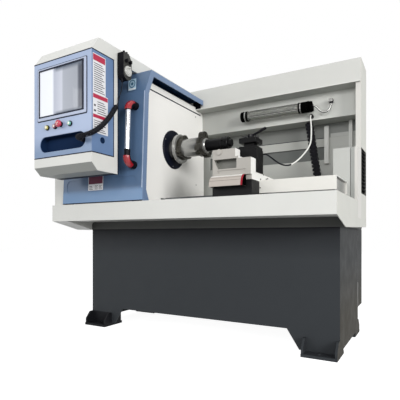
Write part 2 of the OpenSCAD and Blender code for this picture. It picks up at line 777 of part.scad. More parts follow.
module x_servo_motor() color([0.12, 0.12, 0.13]) {
    half = 40;
    z0 = x_feed_z - half;
    block([x_feed_x - half, y_saddle1, z0], [x_feed_x + half, y_saddle1 + 90, x_feed_z + half]);
    block([x_feed_x - half + 6, y_saddle1 + 90, z0 + 6],
        [x_feed_x + half - 6, y_saddle1 + 115, x_feed_z + half - 6]);
}

module x_ball_screw() color([0.7, 0.7, 0.72]) {
    journal = x_screw_r - 2;
    rod_y(y_saddle0 + 6, y_saddle0 + 32, x_feed_x, x_feed_z, journal);
    rod_y(y_saddle0 + 31, y_saddle1 - 21, x_feed_x, x_feed_z, x_screw_r);
    rod_y(y_saddle1 - 22, y_saddle1 - gap, x_feed_x, x_feed_z, journal);
}

module cross_slide() color([0.8, 0.8, 0.78]) {
    x0 = x_saddle0 + 8;
    x1 = x_saddle1;
    x_tall = x0 + 138;
    nut_y = y_saddle0 + 150;
    difference() {
        union() {
            block([x0, y_saddle0, z_plate + gap], [x1, y_slide1, z_slide]);
            block([x0, y_saddle0, z_plate + gap], [x_tall, y_saddle0 + 64, z_slide + 56]);
            block([x_tall - eps, y_saddle0, z_slide - eps], [x_tall + 19, y_saddle0 + 64, z_slide + 12]);
        }
        // dovetail that rides on the top plate
        along_y(y_saddle0 - eps, y_slide1 + eps) polygon([[x0 + 39.5, z_plate - 1],
            [x0 + 29.2, z_plate + 14.5], [x1 - 29.2, z_plate + 14.5], [x1 - 39.5, z_plate - 1]]);
        // hollow in the front face, wider at the top
        along_y(y_saddle0 - eps, y_saddle0 + 40) polygon([[x0 + 10, z_slide + 1], [x0 + 145, z_slide + 1],
            [x0 + 145, z_slide - 52], [x0 + 35, z_slide - 52]]);
    }
    // nut of the cross feed screw
    difference() {
        block([x_feed_x - 20, nut_y, x_feed_z - 15], [x_feed_x + 20, nut_y + 30, z_plate + 15]);
        rod_y(nut_y - eps, nut_y + 31, x_feed_x, x_feed_z, x_screw_r + fit);
    }
    rod_y(y_saddle0 - 6, y_saddle0 + eps, x0 + 42, z_slide + 42, 16);
}

module tool_riser() color([0.17, 0.17, 0.17]) {
    x0 = turret_x - turret_w / 2;
    y0 = turret_y - turret_w / 2;
    block([x0 - 18, y0, z_slide], [x0 + turret_w, y0 + turret_w, z_turret]);
    rod_z(z_turret - eps, z_turret + turret_h + 24, turret_x, turret_y, 12);
    block([x_saddle1, y0, z_plate + 4], [x_saddle1 + sheet, y0 + turret_w, z_turret - 8]);
}

module turret() color([0.15, 0.15, 0.15]) {
    half = turret_w / 2;
    top = z_turret + turret_h;
    difference() {
        block([turret_x - half, turret_y - half, z_turret + gap], [turret_x + half, turret_y + half, top]);
        for (a = [0:90:270]) translate([turret_x, turret_y, 0]) rotate(a)
            block([half - 22, -half - eps, z_turret + 8], [half + eps, half + eps, top - 27]);
        rod_z(z_turret, top + eps, turret_x, turret_y, 12 + fit);
    }
}

module turret_bolts() color([0.1, 0.1, 0.1]) {
    half = turret_w / 2;
    top = z_turret + turret_h;
    translate([turret_x, turret_y, top]) for (a = [0:90:270], s = [-14, 14])
        rotate(a) translate([half - 11, s, 0]) {
            cylinder(h = 6, r = 6);
            translate([0, 0, 6]) cylinder(h = 12, r = 6, $fn = 4);
        }
}

module clamp_lever() color([0.05, 0.05, 0.05]) {
    z0 = z_turret + turret_h;
    rise = 22;
    difference() {
        union() {
            rod_z(z0 + gap, z0 + 26, turret_x, turret_y, 18);
            translate([turret_x, turret_y, z0 + 17]) rotate([0, 90 - rise, 0]) cylinder(h = 88, r = 6);
            translate([turret_x, turret_y, z0 + 17]) rotate([0, 90 - rise, 0]) translate([0, 0, 60])
                cylinder(h = 36, r = 8);
        }
        rod_z(z0, z0 + 24 + gap, turret_x, turret_y, 12 + fit);
    }
}

// ---------- door ----------

module door_panel() color([0.29, 0.41, 0.57]) {
    t = sheet;
    bend = [y_bend, z_bend];
    top = [y_door_top, z_door_top];
    e = door_edge;
    difference() {
        along_x(x_door0, x_door1) polygon([[y_door, z_door], bend, top, [y_door_back, z_door_top],
            [y_door_back, z_door_top - t], [y_door_top + 0.65 * t, z_door_top - t],
            [y_bend + t, z_bend - 0.2 * t], [y_door + t, z_door]]);
        // shallow pressed field low on the front
        on_door(0) along_y(-eps, 2.4) round_rect(x_door0 + 34, 66, x_door1 - 48, 148, 30);
    }
    for (x = [x_door0, x_door1 - t]) along_x(x, x + t) polygon([[y_door, z_door], bend, top,
        [y_door_back, z_door_top], [y_door_back, z_door_top - e], [y_door_top + 0.68 * e, z_door_top - e],
        [y_bend + e, z_bend - 0.26 * e], [y_door + e + 2.7, z_door + 66], [y_door + e + 30, z_door]]);
}

// Frame on the door's leaning face: outwards is -Y, and Z runs up the panel
module on_door(x) {
    translate([x, y_door, z_door]) rotate([-lean, 0, 0]) children();
}

handle_x = x_door1 - 66;
handle_z0 = 248;
handle_z1 = 515;
elbow_r = 40;
bracket_r = handle_r + 5;

module door_handle() color([0.8, 0.8, 0.82]) on_door(handle_x)
    translate([0, -handle_out, handle_z0 + fit]) cylinder(h = handle_z1 - handle_z0 - 2 * fit, r = handle_r);

// Quarter bend from the tube's end to the door, made for the upper end
module elbow(turn) {
    translate([0, elbow_r - handle_out, handle_z1]) rotate([90, 0, -90]) rotate_extrude(angle = turn)
        translate([elbow_r, 0]) children();
}

module handle_bracket() {
    elbow(90) circle(bracket_r);
    translate([0, elbow_r - handle_out - 2, handle_z1 + elbow_r]) rotate([-90, 0, 0])
        cylinder(h = handle_out - elbow_r + 2, r = bracket_r + 3);
}

// Coloured strip round the outside of the bend, short of the bracket's flange
module handle_cap() {
    r = bracket_r + gap;
    elbow(80) difference() {
        circle(r + 3);
        circle(r);
        translate([-r - 5, -r - 5]) square([r + 9, 2 * r + 10]);
    }
}

// The lower end is the upper one, mirrored about the tube's middle
module handle_ends() {
    on_door(handle_x) {
        children();
        translate([0, 0, handle_z0 + handle_z1]) mirror([0, 0, 1]) children();
    }
}

module handle_brackets() color([0.08, 0.08, 0.09]) {
    sleeve_l = 38;
    handle_ends() handle_bracket();
    // sleeve over the tube's lower end
    on_door(handle_x) translate([0, -handle_out, handle_z0]) difference() {
        translate([0, 0, -eps]) cylinder(h = sleeve_l + eps, r = handle_r + 3);
        cylinder(h = sleeve_l + eps, r = handle_r + fit);
    }
}

module handle_caps() color([0.75, 0.12, 0.15]) handle_ends() handle_cap();

module door_shoes() color([0.12, 0.12, 0.12]) {
    l = 60;
    for (x = [x_door0 + 20, x_door1 - 20 - l]) {
        block([x, y_door + sheet + 1.4, z_rim + gap], [x + l, y_door + 20, z_door + 27]);
        block([x, y_fascia - 14, z_rail + gap], [x + l, y_fascia - 7, z_door_top - sheet]);
    }
}

// ---------- control box ----------

module slot_outline(grow) {
    round_rect(slot_x0 - grow, z_slot0 - grow, slot_x1 + grow, z_slot0 + slot_h + grow,
        slot_h / 2 + grow - 0.01);
}

module control_box() color([0.85, 0.85, 0.83]) {
    z0 = z_panel0 - panel_gap;
    z1 = z_panel1 + panel_gap;
    y1 = y_box0 + panel_side + panel_gap;
    y_skin = y_box0 + sheet;
    side_y = y_box0 + 80;
    difference() {
        along_x(xb0, xc) polygon([[y_box0 + 42, z_box], [y_box0, z_box + 40], [y_box0, z_top - 79],
            [y_box0 + 53, z_top], [y_box1, z_top], [y_box1, z_box]]);
        block([xb0 - eps, y_box0 - eps, z0], [xc + eps, y_skin, z1]);
        block([xb0 - eps, y_box0 - eps, z0], [xb0 + sheet, y1, z1]);
        block([xc - sheet, y_box0 - eps, z0], [xc + eps, y1, z1]);
        block([x_yellow - 25, y_skin - eps, z_buttons - 20], [x_green + 25, y_skin + 30, z_buttons + 26]);
        along_y(y_skin - eps, y_skin + 42) slot_outline(0);
        rod_x(xc - 30, xc + eps, side_y, socket_z, 14);
    }
}

module control_front() color([0.5, 0.6, 0.78]) {
    side_y = y_box0 + 80;
    difference() {
        block([xb0, y_box0, z_panel0], [xc, y_box0 + panel_side, z_panel1]);
        block([xb0 + sheet, y_box0 + sheet, z_panel0 - eps], [xc - sheet, y_box0 + panel_side + eps,
            z_panel1 + eps]);
        for (x = [x_yellow, x_pink, x_green])
            rod_y(y_box0 - eps, y_box0 + sheet + eps, x, z_buttons, button_r + 0.5);
        rod_y(y_box0 - eps, y_box0 + sheet + eps, x_estop, z_buttons + 6, button_r + 0.5);
        along_y(y_box0 - eps, y_box0 + sheet + eps) slot_outline(0);
        rod_x(xc - sheet - eps, xc + eps, side_y, socket_z, 14);
    }
}

module screen_bezel() color([0.72, 0.73, 0.78]) along_y(y_box0 - 5, y_box0) difference() {
    round_rect(screen_x0, screen_z0, screen_x0 + bezel_w, screen_z0 + bezel_h, 6);
    translate([screen_x0 + 14, screen_z0 + 20]) square([bezel_w - 34, bezel_h - 31]);
}

module screen_glass() color([0.75, 0.78, 0.83]) {
    x0 = screen_x0 + 14 + gap;
    z0 = screen_z0 + 20 + gap;
    block([x0, y_box0 - 3, z0], [x0 + bezel_w - 34 - 2 * gap, y_box0, z0 + bezel_h - 31 - 2 * gap]);
}

module button_ring(x, z) {
    difference() {
        rod_y(y_box0 - 6, y_box0, x, z, bezel_ring_r);
        rod_y(y_box0 - 7, y_box0 + eps, x, z, button_r + gap);
    }
}

module panel_fittings() color([0.06, 0.06, 0.08]) {
    for (x = [x_yellow, x_pink, x_green]) button_ring(x, z_buttons);
    button_ring(x_estop, z_buttons + 6);
    // liner of the cord slot, with the socket of the pendant's cord
    difference() {
        along_y(y_box0 + sheet, y_box0 + sheet + 42 - gap) slot_outline(-gap);
        along_y(y_box0 + sheet - eps, y_box0 + sheet + 36) slot_outline(-3);
    }
    rod_y(y_box0 - 7, y_box0 + sheet + 37, socket_x, socket_z, coil_d / 2 + 2);
}

module push_button(x) {
    rod_y(y_box0 - 14, y_box0 - 2, x, z_buttons, button_r);
    rod_y(y_box0 - 3, y_box0 + 16, x, z_buttons, button_r - 3);
}

module button_yellow() color([0.9, 0.8, 0.35]) push_button(x_yellow);

module button_pink() color([0.8, 0.4, 0.45]) push_button(x_pink);

module button_green() color([0.5, 0.8, 0.7]) push_button(x_green);

module estop_button() color([0.75, 0.1, 0.15]) {
    z = z_buttons + 6;
    translate([x_estop, y_box0 - 16, z]) rotate([90, 0, 0]) rotate_extrude() polygon([[0, 0],
        [estop_r - 1, 0], [estop_r, 1], [estop_r, 8], [estop_r - 3, 12], [estop_r - 9, 15], [0, 16]]);
    rod_y(y_box0 - 17, y_box0 - 2, x_estop, z, button_r);
    rod_y(y_box0 - 3, y_box0 + 16, x_estop, z, button_r - 3);
}

// ---------- pendant ----------

module pendant_body() color([0.08, 0.08, 0.1]) {
    y1 = pend_y0 + pend_w;
    z1 = pend_z0 + pend_h;
    difference() {
        along_x(pend_x, pend_x + pend_t) polygon([[pend_y0, pend_z0 + 22], [pend_y0 + 12, pend_z0 + 6],
            [pend_y0 + 26, pend_z0], [y1 - 26, pend_z0], [y1 - 8, pend_z0 + 8], [y1, pend_z0 + 26],
            [y1, z1 - 34], [y1 - 24, z1], [pend_y0, z1]]);
        rod_x(pend_x + pend_t - 3, pend_x + pend_t + eps, dial_y, dial_z, dial_r + 3);
    }
    // hanger on the roof's side, gland of the lead, and two glands on top
    block([xc, pend_y0 + 15, z1 - 38], [pend_x + eps, y1 - 15, z1 - 6]);
    rod_z(pend_z0 - 12, pend_z0 + 8, pend_x + 18, pend_y0 + 18, 7);
    for (y = [14, 36]) rod_z(z1 - eps, z1 + 9, pend_x + pend_t - 10, pend_y0 + y, 7);
}

module pendant_dial() color([0.75, 0.76, 0.78]) {
    x0 = pend_x + pend_t - 3 + gap;
    rod_x(x0, x0 + 9, dial_y, dial_z, dial_r);
    rod_x(x0 + 8, x0 + 12, dial_y, dial_z, dial_r - 8);
    rod_x(x0 + 8, x0 + 24, dial_y, dial_z + dial_r - 12, 5);
}

module knob(y) {
    x0 = pend_x + pend_t + gap;
    rod_x(x0, x0 + 5, y, knob_z, knob_r);
    rod_x(x0 + 4, x0 + 17, y, knob_z, knob_r - 5);
    block([x0 + 4, y - 3, knob_z - knob_r], [x0 + 17, y + 3, knob_z + knob_r]);
}

module pendant_knob_left() color([0.2, 0.2, 0.2]) knob(pend_y0 + 18);

module pendant_knob_right() color([0.2, 0.2, 0.2]) knob(pend_y0 + 52);

module pendant_lead() color([0.05, 0.05, 0.06]) tube(lead_route, lead_d / 2, 8);

module pendant_coil() color([0.05, 0.05, 0.06]) tube(coil_route, coil_d / 2, 10);

// ---------- lamp, hose and chain ----------

module lamp_tube() color([0.85, 0.88, 0.9, 0.5]) difference() {
    rod_x(lamp_x0 + cap_l, lamp_x0 + lamp_l - cap_l, lamp_y, lamp_z, lamp_r);
    rod_x(lamp_x0 + cap_l - eps, lamp_x0 + lamp_l - cap_l + eps, lamp_y, lamp_z, lamp_r - 3);
}

module lamp_fittings() color([0.06, 0.06, 0.06]) {
    x_mid = lamp_x0 + lamp_l / 2;
    // grooved end caps on their brackets, with the two light rods between them
    translate([x_mid, lamp_y, lamp_z]) both_ends() rotate([0, 90, 0]) translate([0, 0, lamp_l / 2 - cap_l])
        rotate_extrude() polygon([[0, 0], [lamp_r + 3, 0], [lamp_r + 3, 13], [lamp_r - 3, 14],
            [lamp_r - 3, 19], [lamp_r + 1, 20], [lamp_r + 1, cap_l - 2], [lamp_r - 1, cap_l], [0, cap_l]]);
    for (x = [lamp_x0 + 1, lamp_x0 + lamp_l - 13])
        block([x, lamp_y, lamp_z - 14], [x + 12, y_lamp, lamp_z + 14]);
    for (z = [-12, 12])
        rod_x(lamp_x0 + cap_l - eps, lamp_x0 + lamp_l - cap_l + eps, lamp_y, lamp_z + z, 7);
    block([gland_x - 12, y_lamp - 34, gland_z], [gland_x + 12, y_lamp, gland_z + 20]);
    rod_y(y_lamp - 23, y_lamp, hose_gland_x, hose_gland_z, 13);
}

module lamp_lead() color([0.5, 0.5, 0.5]) tube(lamp_route, lamp_lead_d / 2, 8);

module coolant_hose() color([0.85, 0.85, 0.85]) tube(hose_route, hose_d / 2, 8);

module drag_chain() color([0.05, 0.05, 0.05]) {
    w = 46;
    d = 30;
    links = 26;
    pitch = (z_lamp - gap - z_floor) / links;
    x_top = xr - 361;
    lean_x = 0.155;
    y0 = y_lamp + 22;
    for (i = [0:links - 1]) let (x = x_top + lean_x * pitch * (links - 1 - i), z = z_floor + i * pitch) {
        block([x, y0, z], [x + w, y0 + d, z + pitch * 0.62]);
        block([x + 6, y0 + 4, z - (i == 0 ? 0 : 1)], [x + w - 6, y0 + d - 4, z + pitch]);
    }
}

base_cabinet();
base_top_beam();
chip_tray();
right_end_cover();
rear_enclosure();
headstock_cover();
headstock_guard();
headstock_casting();
spindle_bearings();
spindle_ring_cover();
main_motor();
drive_belt();
bed_casting();
z_servo_motor();
fixed_way_cover();
control_box();
control_front();
screen_bezel();
screen_glass();
panel_fittings();
pendant_body();
pendant_lead();
pendant_coil();
lamp_tube();
lamp_fittings();
lamp_lead();
coolant_hose();
drag_chain();
door_panel();
door_handle();
handle_brackets();
handle_caps();
door_shoes();
spindle_shaft();
spindle_nose();
spindle_pulley();
clamp_flange();
clamp_collar();
clamp_nut();
motor_pulley();
saddle();
saddle_top_plate();
saddle_apron();
moving_way_cover();
coolant_pipe();
x_servo_motor();
z_ball_screw();
x_ball_screw();
cross_slide();
tool_riser();
turret();
turret_bolts();
clamp_lever();
button_yellow();
button_pink();
estop_button();
button_green();
pendant_dial();
pendant_knob_left();
pendant_knob_right();
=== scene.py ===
"""Looks of the wheel rim lathe: camera, light, cords, finishes and small pieces that the CAD leaves out.

The scene is in metres. Paint boxes, routes and pieces are written in millimetres.
"""
import json
import math

import bmesh
import bpy
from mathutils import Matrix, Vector


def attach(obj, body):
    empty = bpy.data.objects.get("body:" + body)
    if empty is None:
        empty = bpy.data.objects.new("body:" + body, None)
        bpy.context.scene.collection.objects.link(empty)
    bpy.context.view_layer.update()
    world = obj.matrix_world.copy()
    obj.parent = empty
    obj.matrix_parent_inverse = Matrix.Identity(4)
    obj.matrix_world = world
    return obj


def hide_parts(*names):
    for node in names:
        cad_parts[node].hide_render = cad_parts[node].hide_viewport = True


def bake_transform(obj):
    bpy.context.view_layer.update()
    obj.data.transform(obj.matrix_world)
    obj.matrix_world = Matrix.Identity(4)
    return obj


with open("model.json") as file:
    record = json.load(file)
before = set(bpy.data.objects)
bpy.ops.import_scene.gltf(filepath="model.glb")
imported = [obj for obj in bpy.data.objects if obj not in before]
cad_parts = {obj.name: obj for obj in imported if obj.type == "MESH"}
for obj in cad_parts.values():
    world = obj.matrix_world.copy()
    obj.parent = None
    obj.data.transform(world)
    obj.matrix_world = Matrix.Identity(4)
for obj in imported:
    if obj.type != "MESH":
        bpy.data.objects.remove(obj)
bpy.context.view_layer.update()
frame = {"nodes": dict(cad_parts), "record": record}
NODES = frame["nodes"]
SCENE = bpy.context.scene

X, Y, Z = (1, 0, 0), (0, 1, 0), (0, 0, 1)
TO_FRONT, TO_LEFT, DOWN = (0, -1, 0), (-1, 0, 0), (0, 0, -1)
EVERYWHERE = (-2000, -2000, -2000), (2000, 2000, 2000)

# planes of the machine, in mm
LEFT_END, RIGHT_END, BACK = -965, 849, 451
BASE_FRONT, BASE_RIGHT = -286, 822
BOX_LEFT, BOX_RIGHT = -791, -338  # control box
CAP_FRONT = -795  # fronts of the push buttons
GUARD_FACE = -283  # sheet round the spindle
DOOR_TILT = math.radians(2.68)
DOOR_UP = Vector((0, math.sin(DOOR_TILT), math.cos(DOOR_TILT)))
LAMP_Y, LAMP_Z = 250, 1427  # axis of the lamp's tube


def srgb(r, g, b):
    """Linear colour from 0-255 display values."""
    def lin(v):
        v = v / 255
        return v / 12.92 if v <= 0.04045 else ((v + 0.055) / 1.055) ** 2.4
    return (lin(r), lin(g), lin(b), 1.0)


# ---------- camera ----------

def make_camera():
    data = bpy.data.cameras.new("camera")
    data.sensor_width = 36
    data.lens = 35.87
    data.shift_y = 0.0895
    data.clip_end = 50
    cam = bpy.data.objects.new("camera", data)
    cam.location = (1.192, -2.316, 0.600)
    cam.rotation_euler = (math.radians(90), 0, math.radians(29.7))
    SCENE.collection.objects.link(cam)
    SCENE.camera = cam


make_camera()


# ---------- materials ----------

class Shader:
    """A material with short calls for its nodes."""

    def __init__(self, name):
        self.mat = bpy.data.materials.new(name)
        self.mat.use_nodes = True
        self.tree = self.mat.node_tree
        self.bsdf = self.tree.nodes["Principled BSDF"]
        self.coords = self.node("ShaderNodeTexCoord").outputs["Object"]

    def node(self, kind, **values):
        n = self.tree.nodes.new(kind)
        for key, value in values.items():
            setattr(n, key, value)
        return n

    def link(self, a, b):
        self.tree.links.new(a, b)

    def noise(self, scale, detail=4.0, rough=0.55, stretch=(1, 1, 1)):
        m = self.node("ShaderNodeMapping")
        m.inputs["Scale"].default_value = stretch
        self.link(self.coords, m.inputs["Vector"])
        n = self.node("ShaderNodeTexNoise")
        n.inputs["Scale"].default_value = scale
        n.inputs["Detail"].default_value = detail
        n.inputs["Roughness"].default_value = rough
        self.link(m.outputs["Vector"], n.inputs["Vector"])
        return n.outputs["Fac"]

    def ramp(self, fac, stops):
        r = self.node("ShaderNodeValToRGB")
        while len(r.color_ramp.elements) < len(stops):
            r.color_ramp.elements.new(0.5)
        for e, (at, colour) in zip(r.color_ramp.elements, stops):
            e.position = at
            e.color = colour
        self.link(fac, r.inputs["Fac"])
        return r.outputs["Color"]

    def span(self, fac, low, high):
        """Maps 0.3-0.7, where noise mostly lies, to low-high."""
        n = self.node("ShaderNodeMapRange")
        n.inputs["From Min"].default_value = 0.3
        n.inputs["From Max"].default_value = 0.7
        n.inputs["To Min"].default_value = low
        n.inputs["To Max"].default_value = high
        self.link(fac, n.inputs["Value"])
        return n.outputs["Result"]

    def along(self, axis, low, high):
        """0 to 1 between two places on an axis."""
        split = self.node("ShaderNodeSeparateXYZ")
        self.link(self.coords, split.inputs[0])
        n = self.node("ShaderNodeMapRange")
        n.inputs["From Min"].default_value = low
        n.inputs["From Max"].default_value = high
        self.link(split.outputs[axis], n.inputs["Value"])
        return n.outputs["Result"]

    def mix(self, fac, a, b):
        """Mixes two colours, each a value or a socket; the node's colour sockets have no unique names."""
        n = self.node("ShaderNodeMix", data_type="RGBA")
        self.link(fac, n.inputs["Factor"])
        for socket, c in ((n.inputs[6], a), (n.inputs[7], b)):
            if isinstance(c, tuple):
                socket.default_value = c
            else:
                self.link(c, socket)
        return n.outputs[2]

    def bump(self, fac, strength, distance, bevel=0.0):
        n = self.node("ShaderNodeBump")
        n.inputs["Strength"].default_value = strength
        n.inputs["Distance"].default_value = distance
        self.link(fac, n.inputs["Height"])
        if bevel:
            b = self.node("ShaderNodeBevel", samples=4)
            b.inputs["Radius"].default_value = bevel
            self.link(b.outputs["Normal"], n.inputs["Normal"])
        self.link(n.outputs["Normal"], self.bsdf.inputs["Normal"])


def shade(colour, k):
    return tuple(min(1, c * k) for c in colour[:3]) + (1.0,)


def finish(name, colour, rough=0.45, metal=0.0, vary=0.06, patch=3.0, grain=350.0, grain_depth=0.00015,
           coat=0.0, bevel=0.0012, stretch=(1, 1, 1), spread=0.06, sheen=0.5, low=None, axis="Z"):
    """Sprayed, moulded or turned surface: slow colour patches, a fine grain and uneven gloss.

    low is (colour, a, b): that colour up to the place a on the axis, which fades to the main one at b.
    """
    s = Shader(name)
    slow = s.noise(patch, 6, 0.6)
    paint = s.ramp(slow, [(0.3, shade(colour, 1 - vary)), (0.7, shade(colour, 1 + vary))])
    if low:
        paint = s.mix(s.along(axis, low[1], low[2]), low[0], paint)
    s.link(paint, s.bsdf.inputs["Base Color"])
    s.bsdf.inputs["Specular IOR Level"].default_value = sheen
    gloss = s.span(s.noise(patch * 4, 5, 0.6, stretch), rough - spread, rough + spread)
    s.link(gloss, s.bsdf.inputs["Roughness"])
    s.bsdf.inputs["Metallic"].default_value = metal
    if coat:
        s.bsdf.inputs["Coat Weight"].default_value = coat
        s.bsdf.inputs["Coat Roughness"].default_value = 0.15
    s.bump(s.noise(grain, 2, 0.5, stretch), 0.35, grain_depth, bevel)
    return s.mat


FINE = {"grain": 500, "grain_depth": 0.0001}  # smooth sprayed sheet
COARSE = {"grain": 420, "grain_depth": 0.0003}  # textured paint
MATERIALS = {
    # charcoal on the base: lighter below 0.48 m, fading to much darker at 0.65 m as painted shade along the
    # base's top under the tray
    "charcoal_paint": finish("charcoal_paint", srgb(17, 19, 23), 0.55, vary=0.1, sheen=0.16, **COARSE,
                             low=(srgb(49, 52, 55), 0.48, 0.65)),
    "beam_paint": finish("beam_paint", srgb(66, 67, 65), 0.55, vary=0.12, sheen=0.3, **COARSE),
    "light_paint": finish("light_paint", srgb(214, 214, 209), 0.45, vary=0.03, **FINE),
    # door blue, painted lighter below 0.87 m as painted light on the door's foot
    "door_blue": finish("door_blue", srgb(80, 106, 138), 0.4, vary=0.05, coat=0.1,
                        low=(srgb(98, 132, 170), 0.868, 0.89)),
    "panel_blue": finish("panel_blue", srgb(98, 125, 164), 0.42, vary=0.05, coat=0.1),
    "machine_black": finish("machine_black", srgb(17, 17, 18), 0.42, vary=0.2, grain=300, grain_depth=0.0002,
                            sheen=0.15),
    "apron_paint": finish("apron_paint", srgb(182, 173, 164), 0.5, vary=0.06),
    "motor_paint": finish("motor_paint", srgb(72, 84, 104), 0.45, vary=0.08),
    "casting_paint": finish("casting_paint", srgb(104, 116, 128), 0.5, vary=0.08, grain=150,
                            grain_depth=0.0005),
    "bed_iron": finish("bed_iron", srgb(112, 116, 118), 0.36, 0.7, vary=0.12, stretch=(0.02, 1, 1)),
    "slide_iron": finish("slide_iron", srgb(168, 164, 157), 0.45, 0.05, vary=0.06, grain=250),
    "dark_steel": finish("dark_steel", srgb(66, 64, 58), 0.34, 0.6, vary=0.3, patch=16),
    "bright_steel": finish("bright_steel", srgb(160, 160, 157), 0.17, 0.6, vary=0.05, patch=5, grain=90,
                           grain_depth=0.00001, stretch=(12, 0.3, 0.3), spread=0.02),
    "black_steel": finish("black_steel", srgb(10, 10, 11), 0.34, vary=0.25, patch=12, sheen=0.12),
    "chrome_tube": finish("chrome_tube", srgb(214, 216, 222), 0.12, 1.0, vary=0.03, grain_depth=0.00002,
                          spread=0.03),
    "navy_plastic": finish("navy_plastic", srgb(10, 14, 28), 0.45, vary=0.15, sheen=0.15),
    "black_plastic": finish("black_plastic", srgb(11, 10, 16), 0.45, vary=0.2, patch=18, sheen=0.1),
    "red_plastic": finish("red_plastic", srgb(150, 10, 26), 0.25, vary=0.1, coat=0.3),
    "yellow_plastic": finish("yellow_plastic", srgb(206, 196, 112), 0.3, vary=0.05, coat=0.4),
    "pink_plastic": finish("pink_plastic", srgb(170, 84, 104), 0.3, vary=0.05, coat=0.4),
    "green_plastic": finish("green_plastic", srgb(120, 190, 172), 0.3, vary=0.05, coat=0.4),
    "bezel_plastic": finish("bezel_plastic", srgb(172, 182, 204), 0.38, vary=0.03),
    "black_rubber": finish("black_rubber", srgb(10, 12, 20), 0.5, vary=0.15, sheen=0.2),
    "grey_lead": finish("grey_lead", srgb(178, 178, 174), 0.28, 0.6, vary=0.05, stretch=(1, 1, 6)),
    "hose_plastic": finish("hose_plastic", srgb(228, 228, 222), 0.38, vary=0.04, coat=0.2),
}
BLACK, STEEL = MATERIALS["black_plastic"], MATERIALS["bright_steel"]
# finishes that the list of slots doesn't name
# dark navy for gaskets, seams and slots, also used as painted shade in gaps, grooves and creases
SEAL_AND_SHADE = finish("seal_and_shade", srgb(10, 18, 38), 0.5, vary=0.1, sheen=0.2)
# navy of the cord slot's liner, darkened as painted shade inside the slot and in the side's cord hole
NAVY_LINER_SHADE = finish("navy_liner_shade", srgb(18, 38, 68), 0.7, vary=0.1, sheen=0.05)
# front of the blue panel: a lighter, greyer copy of the panel's blue as painted light, darker below 1.17 m
# as painted shade
PANEL_FRONT_LIT = finish("panel_front_lit", srgb(158, 174, 203), 0.4, vary=0.04, coat=0.1,
                     low=(srgb(116, 139, 171), 1.075, 1.17))
# the door's right edge, a lighter copy of the door's blue as painted light
DOOR_EDGE_LIT = finish("door_edge", srgb(106, 128, 160), 0.4, vary=0.05, coat=0.12)
# the door's inner faces and the underside of its top, a darker copy of its blue as painted shade
DOOR_INSIDE_SHADE = finish("door_inside_shade", srgb(30, 62, 100), 0.45, vary=0.08, sheen=0.3)
# pale blue strip as a painted highlight on the door's folded edge
DOOR_FOLD_HIGHLIGHT = finish("door_fold_highlight", srgb(166, 182, 206), 0.35, vary=0.05, coat=0.2)
# darker grey as painted shade in the rear wall's recess
RECESS_SHADE = finish("recess", srgb(101, 104, 101), 0.55, vary=0.06)
# rear wall, painted darker above 1.26 m as painted shade under the lamp panel
BACK_WALL_SHADED = finish("back_wall_shaded", srgb(124, 126, 122), 0.45, vary=0.03, **FINE,
                   low=(srgb(186, 187, 181), 1.257, 1.26))
# lamp panel, painted darker towards its left end, below x 0.25 m, as painted shade
LAMP_WALL_SHADED = finish("lamp_wall_shaded", srgb(206, 207, 201), 0.45, vary=0.03, **FINE,
                   low=(srgb(168, 169, 164), -0.15, 0.25), axis="X")
# darker grey as painted shade on downward faces
UNDERSIDE_SHADE = finish("underside", srgb(178, 180, 175), 0.5, vary=0.03)
# the fascia's front, a slightly darker copy of the light paint as painted shade
FASCIA_SHADED = finish("fascia", srgb(199, 199, 194), 0.45, vary=0.03, **FINE)
# right side of the end cover, a darker copy of the light paint as painted shade
END_SIDE_SHADED = finish("end_side_shaded", srgb(196, 196, 188), 0.45, vary=0.03, **FINE)
# left feet painted darker as painted shade; right feet lighter on their sides and tops as painted light
FOOT_SHADE = finish("foot", srgb(22, 23, 26), 0.55, vary=0.15, sheen=0.12, **COARSE)
FOOT_RIGHT_LIT = finish("foot_right_lit", srgb(44, 46, 49), 0.55, vary=0.15, sheen=0.15, **COARSE)
# inner box behind the end cover, a darker copy of the light paint as painted shade
INNER_BOX_SHADED = finish("inner_box_shaded", srgb(183, 184, 179), 0.45, vary=0.03)
# flat black: the lamp's black caps and rings, and painted shade behind the louvres and at the apron's end
BLACK_AND_SHADE = finish("black_and_shade", srgb(6, 6, 6), 0.7, vary=0.2, sheen=0.0)
LOUVRE = finish("louvre", srgb(12, 12, 12), 0.7, vary=0.2, sheen=0.02)
# right side of the base, a darker copy of the charcoal as painted shade, turning warmer below 0.46 m as
# painted warm light
BASE_SIDE_SHADE = finish("base_side_shade", srgb(42, 44, 45), 0.6, vary=0.1, sheen=0.1, **COARSE,
                   low=(srgb(40, 37, 29), 0.18, 0.46))
# grey as painted shade under the control box and in the gap beside the end flange
BOX_UNDER_SHADE = finish("box_under_shade", srgb(152, 154, 150), 0.5, vary=0.04)
# lighter copy of the light paint, as painted light on the way cover's front and the saddle's top plate
WHITE_PLATE_LIT = finish("white_plate_lit", srgb(228, 226, 219), 0.42, vary=0.03)
# near white, as painted light on faces turned to the right, the apron's top and the guard's folded edge
LIT_SIDE = finish("lit_side", srgb(246, 245, 240), 0.42, vary=0.02)
# lighter copy of the light paint, as painted light on the face of the spindle's guard
GUARD_LIT = finish("guard", srgb(246, 244, 239), 0.42, vary=0.02)
PALE_TOP = finish("pale_top", srgb(206, 204, 198), 0.45, vary=0.04)
